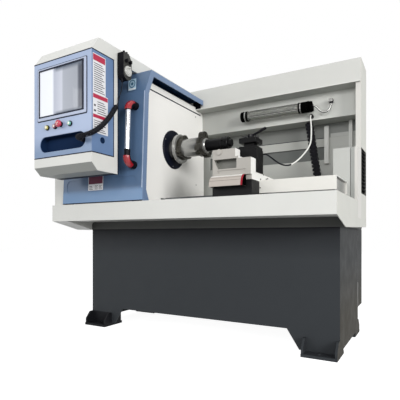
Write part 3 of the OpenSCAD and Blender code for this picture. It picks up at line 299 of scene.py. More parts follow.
# grey as painted shade in the hollow of the cross slide
HOLLOW_SHADE = finish("hollow", srgb(118, 118, 112), 0.5, vary=0.06)
PAPER = finish("paper", srgb(226, 226, 228), 0.5, vary=0.03, bevel=0)
CRIMSON = finish("crimson", srgb(176, 30, 66), 0.45, vary=0.06, bevel=0)
RED_EDGE = finish("red_edge", srgb(150, 12, 36), 0.45, vary=0.08, bevel=0, sheen=0.2)
DARK_RED = finish("dark_red", srgb(92, 20, 52), 0.45, vary=0.12, bevel=0)
INK = finish("ink", srgb(70, 70, 76), 0.6, vary=0.1, bevel=0)
SOFT_LINE = finish("soft_line", srgb(140, 132, 124), 0.6, vary=0.1, bevel=0)
STICKER_BLUE = finish("sticker_blue", srgb(178, 206, 224), 0.4, vary=0.05, bevel=0)
STICKER_RING = finish("sticker_ring", srgb(44, 104, 138), 0.4, vary=0.05, bevel=0)
SCREW = finish("screw", srgb(120, 120, 118), 0.3, 0.9, vary=0.1, bevel=0)
PALE_CAP = finish("pale_cap", srgb(232, 230, 214), 0.3, vary=0.04, coat=0.4, bevel=0)
STOP_RED = finish("stop_red", srgb(178, 34, 66), 0.3, vary=0.06, coat=0.4)
DARK_FACE = finish("dark_face", srgb(46, 46, 44), 0.5, vary=0.35, patch=30, grain=600,
                   grain_depth=0.0004, sheen=0.3)
DARK_JAW = finish("dark_jaw", srgb(70, 68, 62), 0.32, 0.7, vary=0.25, patch=20)
DIAL = finish("dial", srgb(200, 200, 196), 0.3, 0.6, vary=0.04)
TUBE_LIGHT = finish("tube_light", srgb(214, 218, 214), 0.4, vary=0.03)
REFLECTOR = finish("reflector", srgb(150, 151, 147), 0.35, 0.3, vary=0.08)


def lamp_glass():
    """Clear, slightly smoky tube."""
    s = Shader("lamp_glass")
    s.link(s.ramp(s.noise(20, 3), [(0.3, srgb(232, 232, 229)), (0.7, srgb(244, 244, 242))]),
           s.bsdf.inputs["Base Color"])
    s.bsdf.inputs["Roughness"].default_value = 0.02
    s.bsdf.inputs["Transmission Weight"].default_value = 1.0
    s.bsdf.inputs["IOR"].default_value = 1.08
    return s.mat


def screen_reflection():
    """Switched-off display: soft upright bands of painted reflection, pale on the left, with painted shadows
    at the other edges.
    """
    s = Shader("screen_reflection")
    bands = s.ramp(s.along("X", -0.742, -0.394), [
        (0.0, srgb(238, 241, 248)), (0.31, srgb(240, 243, 249)), (0.35, srgb(178, 183, 198)),
        (0.52, srgb(198, 202, 214)), (0.56, srgb(162, 167, 178)), (0.86, srgb(152, 157, 167)),
        (0.9, srgb(40, 50, 70)), (1.0, srgb(26, 34, 52))])
    right = s.along("X", -0.63, -0.6)
    # painted shadow along the top and bottom edges of the screen's right part
    for edge, clear in ((1.531, 1.508), (1.28, 1.297)):
        both = s.node("ShaderNodeMath", operation="MULTIPLY")
        s.link(s.along("Z", clear, edge), both.inputs[0])
        s.link(right, both.inputs[1])
        bands = s.mix(both.outputs[0], bands, srgb(72, 84, 102))
    s.link(bands, s.bsdf.inputs["Base Color"])
    s.bsdf.inputs["Roughness"].default_value = 0.35
    s.bsdf.inputs["Coat Weight"].default_value = 0.2
    return s.mat


MATERIALS["lamp_glass"] = lamp_glass()
MATERIALS["screen_glass"] = screen_reflection()
SLOTS = {p["node"]: p["material_slot"] for p in frame["record"]["subparts"]}


def dress(obj, *mats):
    obj.data.materials.clear()
    for m in mats:
        obj.data.materials.append(m)


for node, obj in NODES.items():
    dress(obj, MATERIALS[SLOTS[node]])


MARGIN = 0.5  # mm that a face may pass the edge of its box


def paint(node, mat, low, high, facing=None, least=0.7):
    """Gives another finish to the faces of a node that lie in a box (mm) and face a direction."""
    mesh = NODES[node].data
    mesh.materials.append(mat)
    index = len(mesh.materials) - 1
    for face in mesh.polygons:
        if facing and face.normal.dot(Vector(facing)) < least:
            continue
        spots = (mesh.vertices[i].co * 1000 for i in face.vertices)
        if all(low[k] - MARGIN <= p[k] <= high[k] + MARGIN for p in spots for k in range(3)):
            face.material_index = index


# painted light on the guard's face
paint("headstock_guard", GUARD_LIT, (-284, -425, 699), (-282, 285, 1520), X)
paint("right_end_cover", PALE_TOP, (818, 217, 799), (850, 221, 1666), TO_FRONT)
# painted shade on the end cover's right side
paint("right_end_cover", END_SIDE_SHADED, (848, -507, 643), (849, 451, 1665), X)
paint("right_end_cover", LOUVRE, (845, 231, 855), (849, 442, 1131))
# flat black behind the louvres as painted shade
paint("right_end_cover", BLACK_AND_SHADE, (845, 231, 855), (845.6, 442, 1131))
# painted shade on the inner box
paint("right_end_cover", INNER_BOX_SHADED, (714, 90, 699), (846, 213, 1108))
# painted shade in the gap round the blue panel
paint("control_box", SEAL_AND_SHADE, (BOX_LEFT, -781, 1042), (BOX_RIGHT, -611, 1589))
# painted shade inside the cord slot
paint("control_box", NAVY_LINER_SHADE, (-741, -777, 1073), (-383, -735, 1161))
paint("panel_fittings", NAVY_LINER_SHADE, (-745, -785, 1068), (-380, -730, 1166))
# painted shade under the control box
paint("control_box", BOX_UNDER_SHADE, (BOX_LEFT, -781, 949), (BOX_RIGHT, -580, 991), (0, -0.2, -1))
# painted light on the panel's front
paint("control_front", PANEL_FRONT_LIT, *EVERYWHERE, TO_FRONT)
paint("estop_button", STOP_RED, *EVERYWHERE)
paint("pendant_dial", DIAL, *EVERYWHERE)
# painted shade on the fascia's front
paint("rear_enclosure", FASCIA_SHADED, (-338, 218, 1520), (845, 220, 1666), TO_FRONT)
# painted shade on the rear wall under the lamp panel
paint("rear_enclosure", BACK_WALL_SHADED, (-874, 430, 699), (845, 438, 1588), TO_FRONT)
# painted shade towards the lamp panel's left end
paint("rear_enclosure", LAMP_WALL_SHADED, (-338, 308, 1353), (845, 308, 1520), TO_FRONT)
# painted shade on downward faces
paint("rear_enclosure", UNDERSIDE_SHADE, (-338, 200, 1353), (845, 434, 1520), DOWN)
# painted shade in the rear wall's recess and its groove
paint("rear_enclosure", RECESS_SHADE, (-283, 433, 1112), (593, 447, 1200))
paint("rear_enclosure", SEAL_AND_SHADE, (-283, 433, 1255), (593, 438, 1261))
# painted light on the door's right edge
paint("door_panel", DOOR_EDGE_LIT, (-225, -510, 800), (-223, 300, 1590), X)
# painted shade on the door's inner faces and the underside of its top
paint("door_panel", DOOR_INSIDE_SHADE, (-871, -500, 800), (-227, 300, 1590), Y)
paint("door_panel", DOOR_INSIDE_SHADE, (-871, -500, 800), (-227, 300, 1590), (0, 0.3, -1))
# the elbow covers are black on their inner sides, below and above the middle of the handle
paint("handle_caps", BLACK, (-600, -700, 900), (-200, -400, 1150), (0, 0.7, 0.7), 0.25)
paint("handle_caps", BLACK, (-600, -700, 1150), (-200, -400, 1500), (0, 0.7, -0.7), 0.25)
# painted shade on the left feet
paint("base_cabinet", FOOT_SHADE, (-822, -356, 0), (-646, 356, 118))
# painted light on the right feet's sides and tops
for side in (X, TO_LEFT, Z):
    paint("base_cabinet", FOOT_RIGHT_LIT, (646, -356, 0), (821, 356, 118), side)
# painted shade on the base's right side, with a painted warm light towards its bottom
paint("base_cabinet", BASE_SIDE_SHADE, (821, -360, -1), (823, 450, 700), X)
paint("pendant_body", DARK_FACE, (-292, -590, 1480), (-288, -510, 1640), X)
paint("moving_way_cover", PALE_TOP, *EVERYWHERE, Z)
# painted light on the way cover's front
paint("moving_way_cover", WHITE_PLATE_LIT, *EVERYWHERE, TO_FRONT)
# flat black at the apron's end as painted shade
paint("saddle_apron", BLACK_AND_SHADE, (349, -400, 860), (351, -340, 930), X)
# painted light on the saddle's top plate and the cross slide's right side
paint("saddle_top_plate", LIT_SIDE, *EVERYWHERE, X)
paint("saddle_top_plate", WHITE_PLATE_LIT, *EVERYWHERE, Z)
paint("cross_slide", LIT_SIDE, (290, -360, 940), (384, -170, 1076), X)
# painted shade in the cross slide's hollow
paint("cross_slide", HOLLOW_SHADE, (165, -358, 966), (191, -316, 1020), (0.9, 0, 0.4))
paint("cross_slide", HOLLOW_SHADE, (165, -318, 966), (300, -316, 1020), TO_FRONT)
paint("cross_slide", HOLLOW_SHADE, (165, -358, 1018), (300, -316, 1020), DOWN)
paint("spindle_nose", DARK_JAW, (-216.4, -200, 1060), (-185, 40, 1280))
paint("spindle_nose", STEEL, (-216.4, -200, 1060), (-216, 40, 1280), X)
paint("lamp_fittings", BLACK_AND_SHADE, (60, 200, 1380), (560, 300, 1480))
paint("lamp_fittings", STEEL, (650, 274, 1448), (674, 308, 1468), TO_FRONT)
paint("lamp_fittings", TUBE_LIGHT, (94, 200, 1390), (524, 300, 1470))


# ---------- cords ----------

STEPS = 6  # points on a smoothed route from one stated point to the next
LIT_STRIP = 0.8  # least cosine to front that keeps a face of a tube in its first material


def add_mesh(name, b, mats=()):
    """Makes an object from a bmesh, and frees the bmesh."""
    mesh = bpy.data.meshes.new(name)
    b.to_mesh(mesh)
    b.free()
    for m in mats:
        mesh.materials.append(m)
    obj = bpy.data.objects.new(name, mesh)
    SCENE.collection.objects.link(obj)
    return obj


def mm(points):
    return [Vector(p) / 1000 for p in points]


def smooth(points):
    """Catmull-Rom curve through the points."""
    ends = [points[0] * 2 - points[1], *points, points[-1] * 2 - points[-2]]
    out = []
    for p0, p1, p2, p3 in zip(ends, ends[1:], ends[2:], ends[3:]):
        for k in range(STEPS):
            t = k / STEPS
            out.append(0.5 * (2 * p1 + (p2 - p0) * t + (2 * p0 - 5 * p1 + 4 * p2 - p3) * t * t
                              + (3 * p1 - p0 - 3 * p2 + p3) * t ** 3))
    return out + [points[-1]]


def tube(name, points, radius, mats, sides=10, split=None, front=None):
    """Closed mesh tube along the points.

    Faces past the point numbered split, or turned away from the direction front, take the second
    material.
    """
    b = bmesh.new()
    side, rings = Vector((1, 0.3, 0.1)), []
    for i, p in enumerate(points):
        ahead = (points[min(i + 1, len(points) - 1)] - points[max(i - 1, 0)]).normalized()
        side = (side - ahead * side.dot(ahead)).normalized()
        up = ahead.cross(side)
        rings.append([b.verts.new(p + radius * (side * math.cos(a) + up * math.sin(a)))
                      for a in (2 * math.pi * k / sides for k in range(sides))])
    for i, (r, q) in enumerate(zip(rings, rings[1:])):
        for k in range(sides):
            f = b.faces.new((r[k], r[(k + 1) % sides], q[(k + 1) % sides], q[k]))
            f.smooth = True
            f.material_index = int(split is not None and i >= split)
            if front:
                f.normal_update()
                f.material_index = int(f.normal.dot(Vector(front).normalized()) < LIT_STRIP)
    b.faces.new(rings[0][::-1])
    b.faces.new(rings[-1]).material_index = int(split is not None)
    return add_mesh(name, b, mats)


LAMP_ROUTE = [(552, 250, 1429), (562, 250, 1429), (574, 251, 1424), (586, 254, 1412), (597, 257, 1399),
    (610, 261, 1389), (624, 266, 1384), (638, 271, 1387), (649, 276, 1396), (657, 281, 1410),
    (661, 284, 1428), (662, 285, 1438), (662, 285, 1448)]
HOSE_ROUTE = [(537, 285, 1377), (537, 274, 1377), (539, 259, 1369), (543, 247, 1349), (549, 236, 1320),
    (554, 224, 1280), (558, 207, 1230), (559, 190, 1189), (554, 156, 1145), (543, 122, 1112),
    (530, 90, 1082), (516, 60, 1057), (502, 32, 1037), (488, 8, 1023), (472, -16, 1016),
    (455, -40, 1017), (440, -62, 1024), (425, -84, 1036), (410, -105, 1050), (397, -122, 1062),
    (386, -134, 1069), (381, -138, 1070), (373, -138, 1070)]
LEAD_ROUTE = [(-315, -567, 1475), (-315, -567, 1460), (-315, -570, 1440), (-315, -577, 1418),
    (-315, -588, 1390), (-315, -598, 1364), (-315, -605, 1342), (-315, -611, 1332)]
COIL_ROUTE = [(-315, -611, 1332), (-315, -620, 1317), (-315, -634, 1297), (-315, -655, 1268),
    (-315, -680, 1238), (-315, -708, 1208), (-315, -740, 1179), (-316, -772, 1154), (-322, -802, 1134),
    (-339, -825, 1121), (-362, -834, 1117), (-385, -829, 1117), (-399, -816, 1117), (-403, -801, 1117),
    (-403, -788, 1117)]


def evenly(points, step):
    """Evenly spaced points on a polyline."""
    out, rest = [points[0]], step
    for a, b in zip(points, points[1:]):
        span = (b - a).length
        at = rest
        while at < span:
            out.append(a.lerp(b, at / span))
            at += step
        rest = at - span
    return out + [points[-1]]


def helix(points, radius, pitch, per_turn, lead=28, reach=3):
    """Wire wound round a route, per_turn points to a turn.

    Over its first and last lead points it swings out from the route's line and back in a wide bend.
    The route's direction is taken over reach points to each side.
    """
    line = evenly(points, pitch / per_turn)
    out, side = [], Vector(X)
    last = len(line) - 1
    for i, p in enumerate(line):
        ahead = (line[min(i + reach, last)] - line[max(i - reach, 0)]).normalized()
        side = (side - ahead * side.dot(ahead)).normalized()
        up = ahead.cross(side)
        turn = 2 * math.pi * (min(max(i, lead), last - lead) - lead) / per_turn
        x, y = radius, 0.0
        near = min(i, last - i)
        if near < lead:
            swing = math.pi * (near / lead) ** 2
            x = radius / 2 * (1 - math.cos(swing))
            y = radius / 2 * math.sin(swing) * (-1 if i < lead else 1)
        a = side * math.cos(turn) + up * math.sin(turn)
        b = up * math.cos(turn) - side * math.sin(turn)
        out.append(p + a * x + b * y)
    return out


def make_cords():
    """The lamp's conduit, the coolant hose, and the pendant's straight lead and coil as one wire."""
    route = smooth(mm(LAMP_ROUTE))
    # grey only on faces towards the front; the conduit's other faces are black as painted shade
    lead = tube("lamp_cable", route, 0.006, [MATERIALS["grey_lead"], BLACK], 16, front=(0.25, -1, 0.1))
    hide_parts("lamp_lead")
    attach(lead, "machine")

    route = smooth(mm(HOSE_ROUTE))
    sleeve = 13 * STEPS  # the hose runs in a black sleeve from here to the saddle
    hose = tube("hose_tube", route, 0.0045, [MATERIALS["hose_plastic"], MATERIALS["black_rubber"]], 12,
                sleeve)
    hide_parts("coolant_hose")
    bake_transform(hose)

    route = smooth(mm(LEAD_ROUTE)) + helix(smooth(mm(COIL_ROUTE)), 0.0115, 0.0066, 14)[1:]
    wire = tube("pendant_cable", route, 0.0026, [MATERIALS["black_rubber"]], 8)
    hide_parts("pendant_lead", "pendant_coil")
    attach(wire, "machine")


make_cords()


# ---------- small pieces ----------

def rounded(x0, z0, x1, z1, r=0.0, steps=5):
    """Outline of a rectangle with round corners."""
    if not r:
        return [(x0, z0), (x1, z0), (x1, z1), (x0, z1)]
    out = []
    corners = (x1 - r, z0 + r), (x1 - r, z1 - r), (x0 + r, z1 - r), (x0 + r, z0 + r)
    for (cx, cz), a0 in zip(corners, (-90, 0, 90, 180)):
        for k in range(steps + 1):
            a = math.radians(a0 + 90 * k / steps)
            out.append((cx + r * math.cos(a), cz + r * math.sin(a)))
    return out


def circle(cx, cz, r, sides=20):
    return [(cx + r * math.cos(2 * math.pi * k / sides), cz + r * math.sin(2 * math.pi * k / sides))
            for k in range(sides)]


class Piece:
    """One mesh built from thin prisms and turned heads, all sizes in millimetres.

    An outline (u, v) lies in the plane through origin, with directions u and v, and is pushed out
    along u x v.
    """

    def __init__(self, name, body, mats):
        self.name, self.body, self.mats, self.b = name, body, mats, bmesh.new()

    def prism(self, outline, origin, u, v, height, mat=0, hole=None):
        u, v, o = Vector(u).normalized(), Vector(v).normalized(), Vector(origin)
        n = u.cross(v)

        def place(p, h):
            return self.b.verts.new((o + u * p[0] + v * p[1] + n * h) / 1000)

        low, high = [place(p, 0) for p in outline], [place(p, height) for p in outline]
        faces = self.wall(low, high)
        if hole:
            low_in, high_in = [place(p, 0) for p in hole], [place(p, height) for p in hole]
            faces += self.wall(high_in, low_in) + self.wall(high, high_in) + self.wall(low_in, low)
        else:
            faces += [self.b.faces.new(low[::-1]), self.b.faces.new(high)]
        for f in faces:
            f.material_index = mat

    def wall(self, a, b):
        n = len(a)
        return [self.b.faces.new((a[i], a[(i + 1) % n], b[(i + 1) % n], b[i])) for i in range(n)]

    def turned(self, profile, origin, axis, mat=0, sides=16):
        """Profile of (radius, height) turned round the axis."""
        axis, o = Vector(axis).normalized(), Vector(origin)
        side = axis.orthogonal().normalized()
        up = axis.cross(side)
        rings = [[self.b.verts.new((o + axis * h + (side * math.cos(a) + up * math.sin(a)) * r) / 1000)
                  for a in (2 * math.pi * k / sides for k in range(sides))] for r, h in profile]
        faces = [f for a, b in zip(rings, rings[1:]) for f in self.wall(a, b)]
        faces += [self.b.faces.new(rings[0][::-1]), self.b.faces.new(rings[-1])]
        for f in faces:
            f.material_index = mat

    def screw(self, origin, axis, r=4.0, mat=0):
        """Button head with a recess for the key."""
        self.turned([(r, 0), (r, r * 0.25), (r * 0.75, r * 0.6), (r * 0.42, r * 0.66), (r * 0.38, r * 0.25)],
                    origin, axis, mat, 12)

    def done(self):
        bmesh.ops.recalc_face_normals(self.b, faces=self.b.faces)
        obj = add_mesh(self.name, self.b, self.mats)
        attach(obj, self.body)


def on_door(x, up):
    """A place on the door's sloping front, up mm above its foot."""
    return Vector((x, -500, 803)) + DOOR_UP * up


def label(name, body, origin, u, v, w, h, bands, lines, mats=(PAPER, CRIMSON, INK)):
    """Printed plate, w by h mm, from a corner at origin.

    It has bands of colour (u0, v0, u1, v1) and blocks of plain strokes (u0, u1, v0, v1, rows).
    """
    p = Piece(name, body, mats)
    p.prism(rounded(0, 0, w, h, 1.5), origin, u, v, 0.4)
    top = Vector(origin) + Vector(u).normalized().cross(Vector(v).normalized()) * 0.4
    for u0, v0, u1, v1 in bands:
        p.prism(rounded(u0, v0, u1, v1), top, u, v, 0.2, 1)
    for u0, u1, v0, v1, rows in lines:
        step = (v1 - v0) / rows
        for k in range(rows):
            end = u1 - (k * 37 % 11) * (u1 - u0) * 0.03
            p.prism(rounded(u0, v0 + k * step, end, v0 + k * step + step * 0.36), top, u, v, 0.2, 2)
    p.done()


def make_labels():
    """Two labels on the control box's right side, and a label and a ring sticker on the door."""
    label("side_label_low", "machine", (BOX_RIGHT, -773, 1148), Y, Z, 114, 210,
          [(2, 184, 112, 206), (2, 80, 100, 98)],
          [(34, 104, 106, 178, 6), (8, 24, 112, 168, 2), (8, 100, 8, 74, 6)])
    label("side_label_top", "machine", (BOX_RIGHT, -773, 1358), Y, Z, 96, 210, [(2, 173, 92, 206)],
          [(8, 90, 8, 168, 14)])
    clear = Vector((0, -0.3, 0))
    label("door_label", "door", on_door(-652, 78) + clear, X, DOOR_UP, 124, 92, [(4, 40, 120, 89)],
          [(10, 40, 6, 34, 3), (56, 84, 6, 34, 4), (90, 116, 6, 34, 4)], (PAPER, DARK_RED, INK))
    start = on_door(-352, 658) + clear
    p = Piece("ring_sticker", "door", (STICKER_BLUE, STICKER_RING, PAPER))
    p.prism(rounded(0, 0, 58, 66, 2), start, X, DOOR_UP, 0.4)
    top = start + Vector((0, -0.4, 0))
    p.prism(circle(29, 38, 24), top, X, DOOR_UP, 0.2, 1, circle(29, 38, 18.5))
    p.prism(circle(29, 38, 9), top, X, DOOR_UP, 0.2, 1)
    p.prism(rounded(4, 3, 54, 10), top, X, DOOR_UP, 0.2, 2)
    p.done()


def make_screen_frame():
    """Dark gaskets round the screen, and dark strips along the edges of the blue panel as painted shade in
    the gaps.
    """
    p = Piece("screen_seal_and_shade", "machine", (SEAL_AND_SHADE,))
    # inner ring: gasket between the screen and the bezel, darkened with painted shade
    p.prism(rounded(-746, 1271, -390, 1543, 3), (0, -785.4, 0), X, Z, 1.6, 0,
            rounded(-738, 1279, -403, 1535, 3))
    # outer ring: painted shade line round the bezel
    p.prism(rounded(-761, 1250, -369, 1555, 9), (0, -781, 0), X, Z, 1.6, 0,
            rounded(-755.5, 1255.5, -374.5, 1549.5, 6))
    p.done()
    p = Piece("panel_shade_strips", "machine", (SEAL_AND_SHADE,))
    # dark strips along the top, foot and back edge of the blue panel, as painted shade in its gaps
    for z in (1041, 1584):
        p.prism(rounded(BOX_LEFT, z, BOX_RIGHT, z + 6), (0, -780.4, 0), X, Z, 1)
        p.prism(rounded(-781, z, -609, z + 6), (BOX_RIGHT - 0.6, 0, 0), Y, Z, 1)
    p.prism(rounded(-614.5, 1046, -609, 1584), (BOX_RIGHT - 0.6, 0, 0), Y, Z, 1)
    # dark strips on the edges of the box's back and underside, as painted shade in the gap to the door
    p.prism(rounded(-580.5, 950, -571, 1588), (BOX_RIGHT, 0, 0), Y, Z, -6)
    p.prism(rounded(BOX_LEFT, -618, BOX_RIGHT, -580), (0, 0, 950), X, Y, -2)
    p.done()


def make_caps():
    """Pale lenses of the buttons, arrows on the emergency stop, and a dark navy disc in the side's cord hole
    as painted shade.
    """
    for colour, x, r in (("yellow", -677, 7), ("pink", -613, 6.5), ("green", -496, 7)):
        p = Piece("cap_" + colour, colour + "_button", (PALE_CAP,))
        lens = [(r, 0), (r, 0.8), (r * 0.7, 1.7), (r * 0.25, 2.0)]
        p.turned(lens, (x, CAP_FRONT, 1211), TO_FRONT, 0, 20)
        p.done()
    p = Piece("stop_arrows", "emergency_stop", (PALE_CAP,))
    arrow = [(3, -1.2), (8, -1.2), (8, -3), (10.5, 0), (8, 3), (8, 1.2), (3, 1.2)]
    for k in range(3):
        a = math.radians(120 * k + 20)
        u = (math.cos(a), 0, math.sin(a))
        v = (-math.sin(a), 0, math.cos(a))
        p.prism(arrow, (-569, -812.95, 1217), u, v, 0.4)
    p.done()
    # dark navy disc as painted shade in the side's cord hole
    p = Piece("side_hole_shade", "machine", (NAVY_LINER_SHADE,))
    p.turned([(17, 0), (17, 1.2), (15, 2), (13, 1.4)], (BOX_RIGHT, -701, 1117), X, 0, 28)
    p.done()


def make_screws():
    """Screws of the ring cover, the spindle's guard, the back sheets and the saddle."""
    p = Piece("cover_screws", "machine", (SCREW,))
    for y, z in ((-196, 1223), (-109, 1060), (-20, 1262)):
        p.screw((-273, y, z), X, 4.5)
    for y, z in ((203, 1470), (211, 973), (-380, 1470), (-398, 973), (-100, 1500), (203, 1250),
                 (-404, 1250)):
        p.screw((GUARD_FACE, y, z), X)
    for x in range(-700, 800, 250):
        p.screw((x, BACK, 730), Y)
        p.screw((x, BACK, 1340), Y)
    p.done()
    p = Piece("saddle_screws", "saddle_body", (MATERIALS["black_steel"],))
    for y, z in ((-128, 927), (-104, 932), (-216, 915), (40, 922)):
        p.screw((383, y, z), X, 4.5)
    p.screw((388, -234, 866), TO_FRONT, 3.5)
    p.done()


def make_apron_trim():
    """Strips on the curved guard in front of the saddle, one a painted highlight over its top, and the red
    edge at its end.
    """
    p = Piece("apron_trim", "saddle_body", (SOFT_LINE, RED_EDGE, LIT_SIDE))
    x0, x1 = 152, 350
    y0, depth = -357, 42
    z0, height = 867, 61

    def curve(a, grow):
        a = math.radians(a)
        return y0 + 2 - (depth + grow) * math.sin(a), z0 + (height + grow) * math.cos(a)

    def strip(low, high, steps, out, inside, x, width, mat):
        """Follows the guard's curve between two angles, from out mm above it to inside mm below."""
        for k in range(steps):
            a, b = (low + (high - low) * t / steps for t in (k, k + 1))
            outline = [curve(a, out), curve(b, out), curve(b, -inside), curve(a, -inside)]
            p.prism(outline, (x, 0, 0), Y, Z, width, mat)

    # pale strip over the top of the curve as a painted highlight, and two thin lines
    for low, high, mat in ((2, 26, 2), (38, 40, 0), (58, 60, 0)):
        strip(low, high, 4, 0.6, 0.2, x0 + 1, x1 - x0 - 12, mat)
    strip(0, 90, 10, 1.2, 1, x1 - 9, 10, 1)
    p.done()


def lamp_bar(p, low, high, outer, inner, x, length, mat):
    """Bar along the lamp, between two angles (degrees) and two radii."""
    low, high = math.radians(low), math.radians(high)
    corners = (outer, low), (outer, high), (inner, high), (inner, low)
    outline = [(LAMP_Y + r * math.cos(a), LAMP_Z + r * math.sin(a)) for r, a in corners]
    p.prism(outline, (x, 0, 0), Y, Z, length, mat)


def make_lamp_trim():
    """Ribbed reflector with painted shade between its ribs, light rods, and the pale and dark rings at the
    tube's ends.
    """
    p = Piece("lamp_reflector", "machine", (REFLECTOR, SEAL_AND_SHADE))
    ribs = 14
    for k in range(ribs):
        # each rib: a lighter band, then a dark band as painted shade in the groove
        for low, high, mat in ((0, 0.66, 0), (0.74, 0.92, 1)):
            a, b = (20 + 200 * (k + t) / ribs for t in (low, high))
            lamp_bar(p, a, b, 28.6, 26.5, 97, 424, mat)
    p.done()
    p = Piece("lamp_rods", "machine", (MATERIALS["hose_plastic"], BLACK))
    for middle, mat in ((118, 1), (124, 0), (131, 1), (205, 1), (212, 0), (219, 1)):
        lamp_bar(p, middle - 2.4, middle + 2.4, 33.6, 33.1, 108, 360, mat)
    p.done()
    p = Piece("lamp_rings", "machine", (STEEL, BLACK_AND_SHADE))
    outer, inner = circle(LAMP_Y, LAMP_Z, 35.2, 40), circle(LAMP_Y, LAMP_Z, 33.2, 40)
    for x0, x1, mat in ((97, 103, 0), (103, 117, 1), (468, 479, 1), (479, 486, 0), (486, 521, 1)):
        p.prism(outer, (x0, 0, 0), Y, Z, x1 - x0, mat, inner)
    p.done()


def make_wall_strips():
    """Flange that carries the end cover's on down over the inner box, a strip of painted shade beside it,
    and a strip on the rear wall.
    """
    p = Piece("wall_strips", "machine", (PALE_TOP, BOX_UNDER_SHADE, INNER_BOX_SHADED))
    p.prism(rounded(832, 700, RIGHT_END, 1109), (0, 90, 0), X, Z, 1.6, 0)
    p.prism(rounded(90, 700, 224, 1109), (RIGHT_END, 0, 0), Y, Z, 0.4, 0)
    # grey strip as painted shade in the gap between the inner box and the flange
    p.prism(rounded(811, 700, 832, 1108), (0, 90, 0), X, Z, 0.6, 1)
    p.prism(rounded(630, 1259, 818, 1284), (0, 434, 0), X, Z, 1, 2)
    p.done()


def make_guard_edges_and_glands():
    """Edges of the spindle's guard, and the fittings of the hose and the lamp's conduit."""
    p = Piece("dark_lines", "machine", (SEAL_AND_SHADE, BLACK, LIT_SIDE, GUARD_LIT))
    # folded edge on top of the guard, a dark line below it as painted shade under the fold, and the guard's
    # rear edge
    p.prism(rounded(-375, 1519, 205, 1541), (-287, 0, 0), Y, Z, 3.4, 2)
    p.prism(rounded(-392, 1494, 275, 1502), (-283.4, 0, 0), Y, Z, 1.4, 0)
    p.prism(rounded(284, 699, 326, 1516), (-286.5, 0, 0), Y, Z, 3.5, 3)
    # gland on the end of the lamp panel, and the conduit's nuts
    p.turned([(11, 0), (12, 5), (11, 10), (6, 12), (5.4, 16)], (537, 308, 1377), TO_FRONT, 1, 20)
    for end, axis in ((LAMP_ROUTE[0], X), (LAMP_ROUTE[-1], DOWN)):
        p.turned([(8, 0), (8, 9), (6, 10)], end, axis, 1, 8)
    p.done()


def make_door_highlight_and_shade():
    """A painted highlight on the fold down the right side of the door's front, and a dark strip along its
    foot as painted shade.
    """
    p = Piece("door_fold_highlight", "door", (DOOR_FOLD_HIGHLIGHT,))
    p.prism(rounded(0, 0, 7, 566, 2), on_door(-233, 74), X, DOOR_UP, 1.2)
    p.done()
    p = Piece("door_foot_shade", "door", (SEAL_AND_SHADE,))
    p.prism(rounded(0, 0, 650, 5), (-874, -499.8, 803), X, DOOR_UP, 1.2)
    p.done()


def make_back():
    """Dark sheet behind the louvres as painted shade, painted shade lines and a painted highlight on the
    base, and the hatch, seams and cabinet doors on the sides and back.
    """
    p = Piece("louvre_backing_shade", "machine", (BLACK_AND_SHADE,))
    p.prism(rounded(225, 850, 448, 1136), (842, 0, 0), Y, Z, 2)
    p.done()
    p = Piece("base_shade_and_highlight", "machine", (BLACK, SCREW))
    # dark line along the base's front under the tray, and near the rear of its right side a dark line and a
    # light strip: painted shade and a painted highlight
    p.prism(rounded(-BASE_RIGHT, 638, BASE_RIGHT, 643.5), (0, BASE_FRONT, 0), X, Z, 0.6, 0)
    p.prism(rounded(266, 320, 286, 638), (BASE_RIGHT, 0, 0), Y, Z, 0.6, 0)
    p.prism(rounded(276, 170, 286, 316), (BASE_RIGHT, 0, 0), Y, Z, 0.6, 1)
    # black filler that closes the wedge between the base and the sloping edge of the covers, as painted
    # shade in the gap
    wedge = [(-280, 643), (286, 643), (286, 640), (445, 640), (445, 654.5), (-280, 643.4)]
    for x in (-820, 812):
        p.prism(wedge, (x, 0, 0), Y, Z, 8, 0)
    p.prism(rounded(-812, 640, 812, 654.5), (0, 445, 0), X, Z, 8, 0)
    p.done()
    p = Piece("rear_seams", "machine", (SEAL_AND_SHADE, MATERIALS["light_paint"], BLACK))
    for x in (-338, 255):
        p.prism(rounded(-x - 1.5, 702, -x + 1.5, 1660), (0, BACK - 0.4, 0), TO_LEFT, Z, 0.7, 0)
    for z in (830, 1150):
        p.prism(rounded(-770, z, -430, z + 260, 4), (0, BACK, 0), TO_LEFT, Z, 2, 1)
        for slot in range(z + 44, z + 226, 26):
            p.prism(rounded(-740, slot, -460, slot + 10, 5), (0, BACK + 2, 0), TO_LEFT, Z, 0.5, 0)
    # hatch on the left end, with its two latches
    p.prism(rounded(-330, 860, 150, 1420, 6), (LEFT_END, 0, 0), TO_FRONT, Z, 1.4, 1)
    for z in (940, 1340):
        p.turned([(11, 0), (11, 0.8), (9, 1.2)], (LEFT_END - 1.4, -110, z), TO_LEFT, 2)
    p.done()
    p = Piece("rear_cabinet_door", "machine", (MATERIALS["charcoal_paint"], BLACK, SCREW))
    for x in (60, -760):
        p.prism(rounded(x, 190, x + 700, 620, 6), (0, 447, 0), TO_LEFT, Z, 2.5, 0)
    for x in (-100, 100):
        for z in (260, 550):
            p.turned([(11, 0), (11, 5), (8, 6)], (x, 449, z), Y, 1)
    for x in (-700, 700):
        for z in (230, 405, 580):
            p.screw((x, 449, z), Y, mat=2)
    p.done()


make_labels()
make_screen_frame()
make_caps()
make_screws()
make_apron_trim()
make_lamp_trim()
make_guard_edges_and_glands()
make_wall_strips()
make_door_highlight_and_shade()
make_back()


# ---------- studio ----------

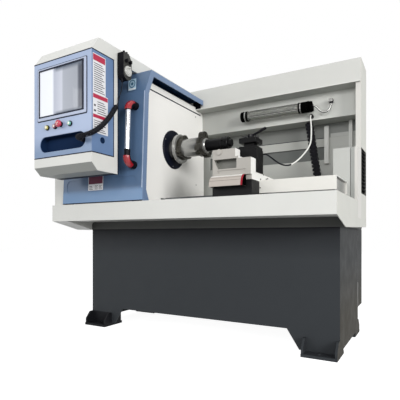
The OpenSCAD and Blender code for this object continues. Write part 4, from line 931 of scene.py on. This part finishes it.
def white_where_seen(tree):
    """1 for camera, glossy and transmission rays, else 0."""
    path = tree.nodes.new("ShaderNodeLightPath")
    a = tree.nodes.new("ShaderNodeMath")
    b = tree.nodes.new("ShaderNodeMath")
    a.operation = b.operation = "MAXIMUM"
    tree.links.new(path.outputs["Is Camera Ray"], a.inputs[0])
    tree.links.new(path.outputs["Is Glossy Ray"], a.inputs[1])
    tree.links.new(a.outputs[0], b.inputs[0])
    tree.links.new(path.outputs["Is Transmission Ray"], b.inputs[1])
    return b.outputs[0]


def make_world():
    """White where it is seen, and a soft cool light on the diffuse surfaces."""
    world = bpy.data.worlds.new("world")
    SCENE.world = world
    world.use_nodes = True
    tree = world.node_tree
    lit = tree.nodes["Background"]
    lit.inputs["Color"].default_value = (0.95, 0.97, 1.0, 1)
    lit.inputs["Strength"].default_value = 0.42
    seen = tree.nodes.new("ShaderNodeBackground")
    seen.inputs["Color"].default_value = (1, 1, 1, 1)
    mix = tree.nodes.new("ShaderNodeMixShader")
    tree.links.new(white_where_seen(tree), mix.inputs["Fac"])
    tree.links.new(lit.outputs[0], mix.inputs[1])
    tree.links.new(seen.outputs[0], mix.inputs[2])
    tree.links.new(mix.outputs[0], tree.nodes["World Output"].inputs["Surface"])


def make_floor():
    """Floor that looks white, just dark enough to show the object's shadow."""
    half_side, glow_strength, below = 12, 0.94, 0.0005
    b = bmesh.new()
    bmesh.ops.create_grid(b, x_segments=1, y_segments=1, size=half_side)
    floor = add_mesh("floor", b)
    floor.location.z = -below
    mat = bpy.data.materials.new("floor")
    mat.use_nodes = True
    tree = mat.node_tree
    tree.nodes.remove(tree.nodes["Principled BSDF"])
    diffuse = tree.nodes.new("ShaderNodeBsdfDiffuse")
    diffuse.inputs["Color"].default_value = (0.42, 0.42, 0.42, 1)
    glow = tree.nodes.new("ShaderNodeEmission")
    add = tree.nodes.new("ShaderNodeAddShader")
    strength = tree.nodes.new("ShaderNodeMath")
    strength.operation = "MULTIPLY"
    strength.inputs[1].default_value = glow_strength
    tree.links.new(white_where_seen(tree), strength.inputs[0])
    tree.links.new(strength.outputs[0], glow.inputs["Strength"])
    tree.links.new(diffuse.outputs[0], add.inputs[0])
    tree.links.new(glow.outputs[0], add.inputs[1])
    tree.links.new(add.outputs[0], tree.nodes["Material Output"].inputs["Surface"])
    floor.data.materials.append(mat)


def area_light(name, place, aim, size, power):
    data = bpy.data.lights.new(name, "AREA")
    data.shape = "RECTANGLE"
    data.size, data.size_y = size
    data.energy = power
    obj = bpy.data.objects.new(name, data)
    obj.location = place
    obj.rotation_euler = (Vector(aim) - Vector(place)).to_track_quat("-Z", "Y").to_euler()
    SCENE.collection.objects.link(obj)


def make_lights():
    """Name, place (m), the point it aims at, size (m) and power (W)."""
    area_light("key", (1.9, -8.4, 3.1), (0, 0, 1.0), (4.0, 2.4), 205)
    area_light("fill", (8.0, -4.4, 2.6), (0, 0, 1.0), (3.6, 3.0), 560)
    area_light("left", (-5.0, -6.6, 3.0), (-0.6, 0, 1.0), (2.4, 2.0), 90)
    area_light("top", (-0.3, -1.0, 4.2), (0, 0, 1.0), (2.4, 1.6), 12)


make_world()
make_floor()
make_lights()
SCENE.view_settings.view_transform = "Standard"
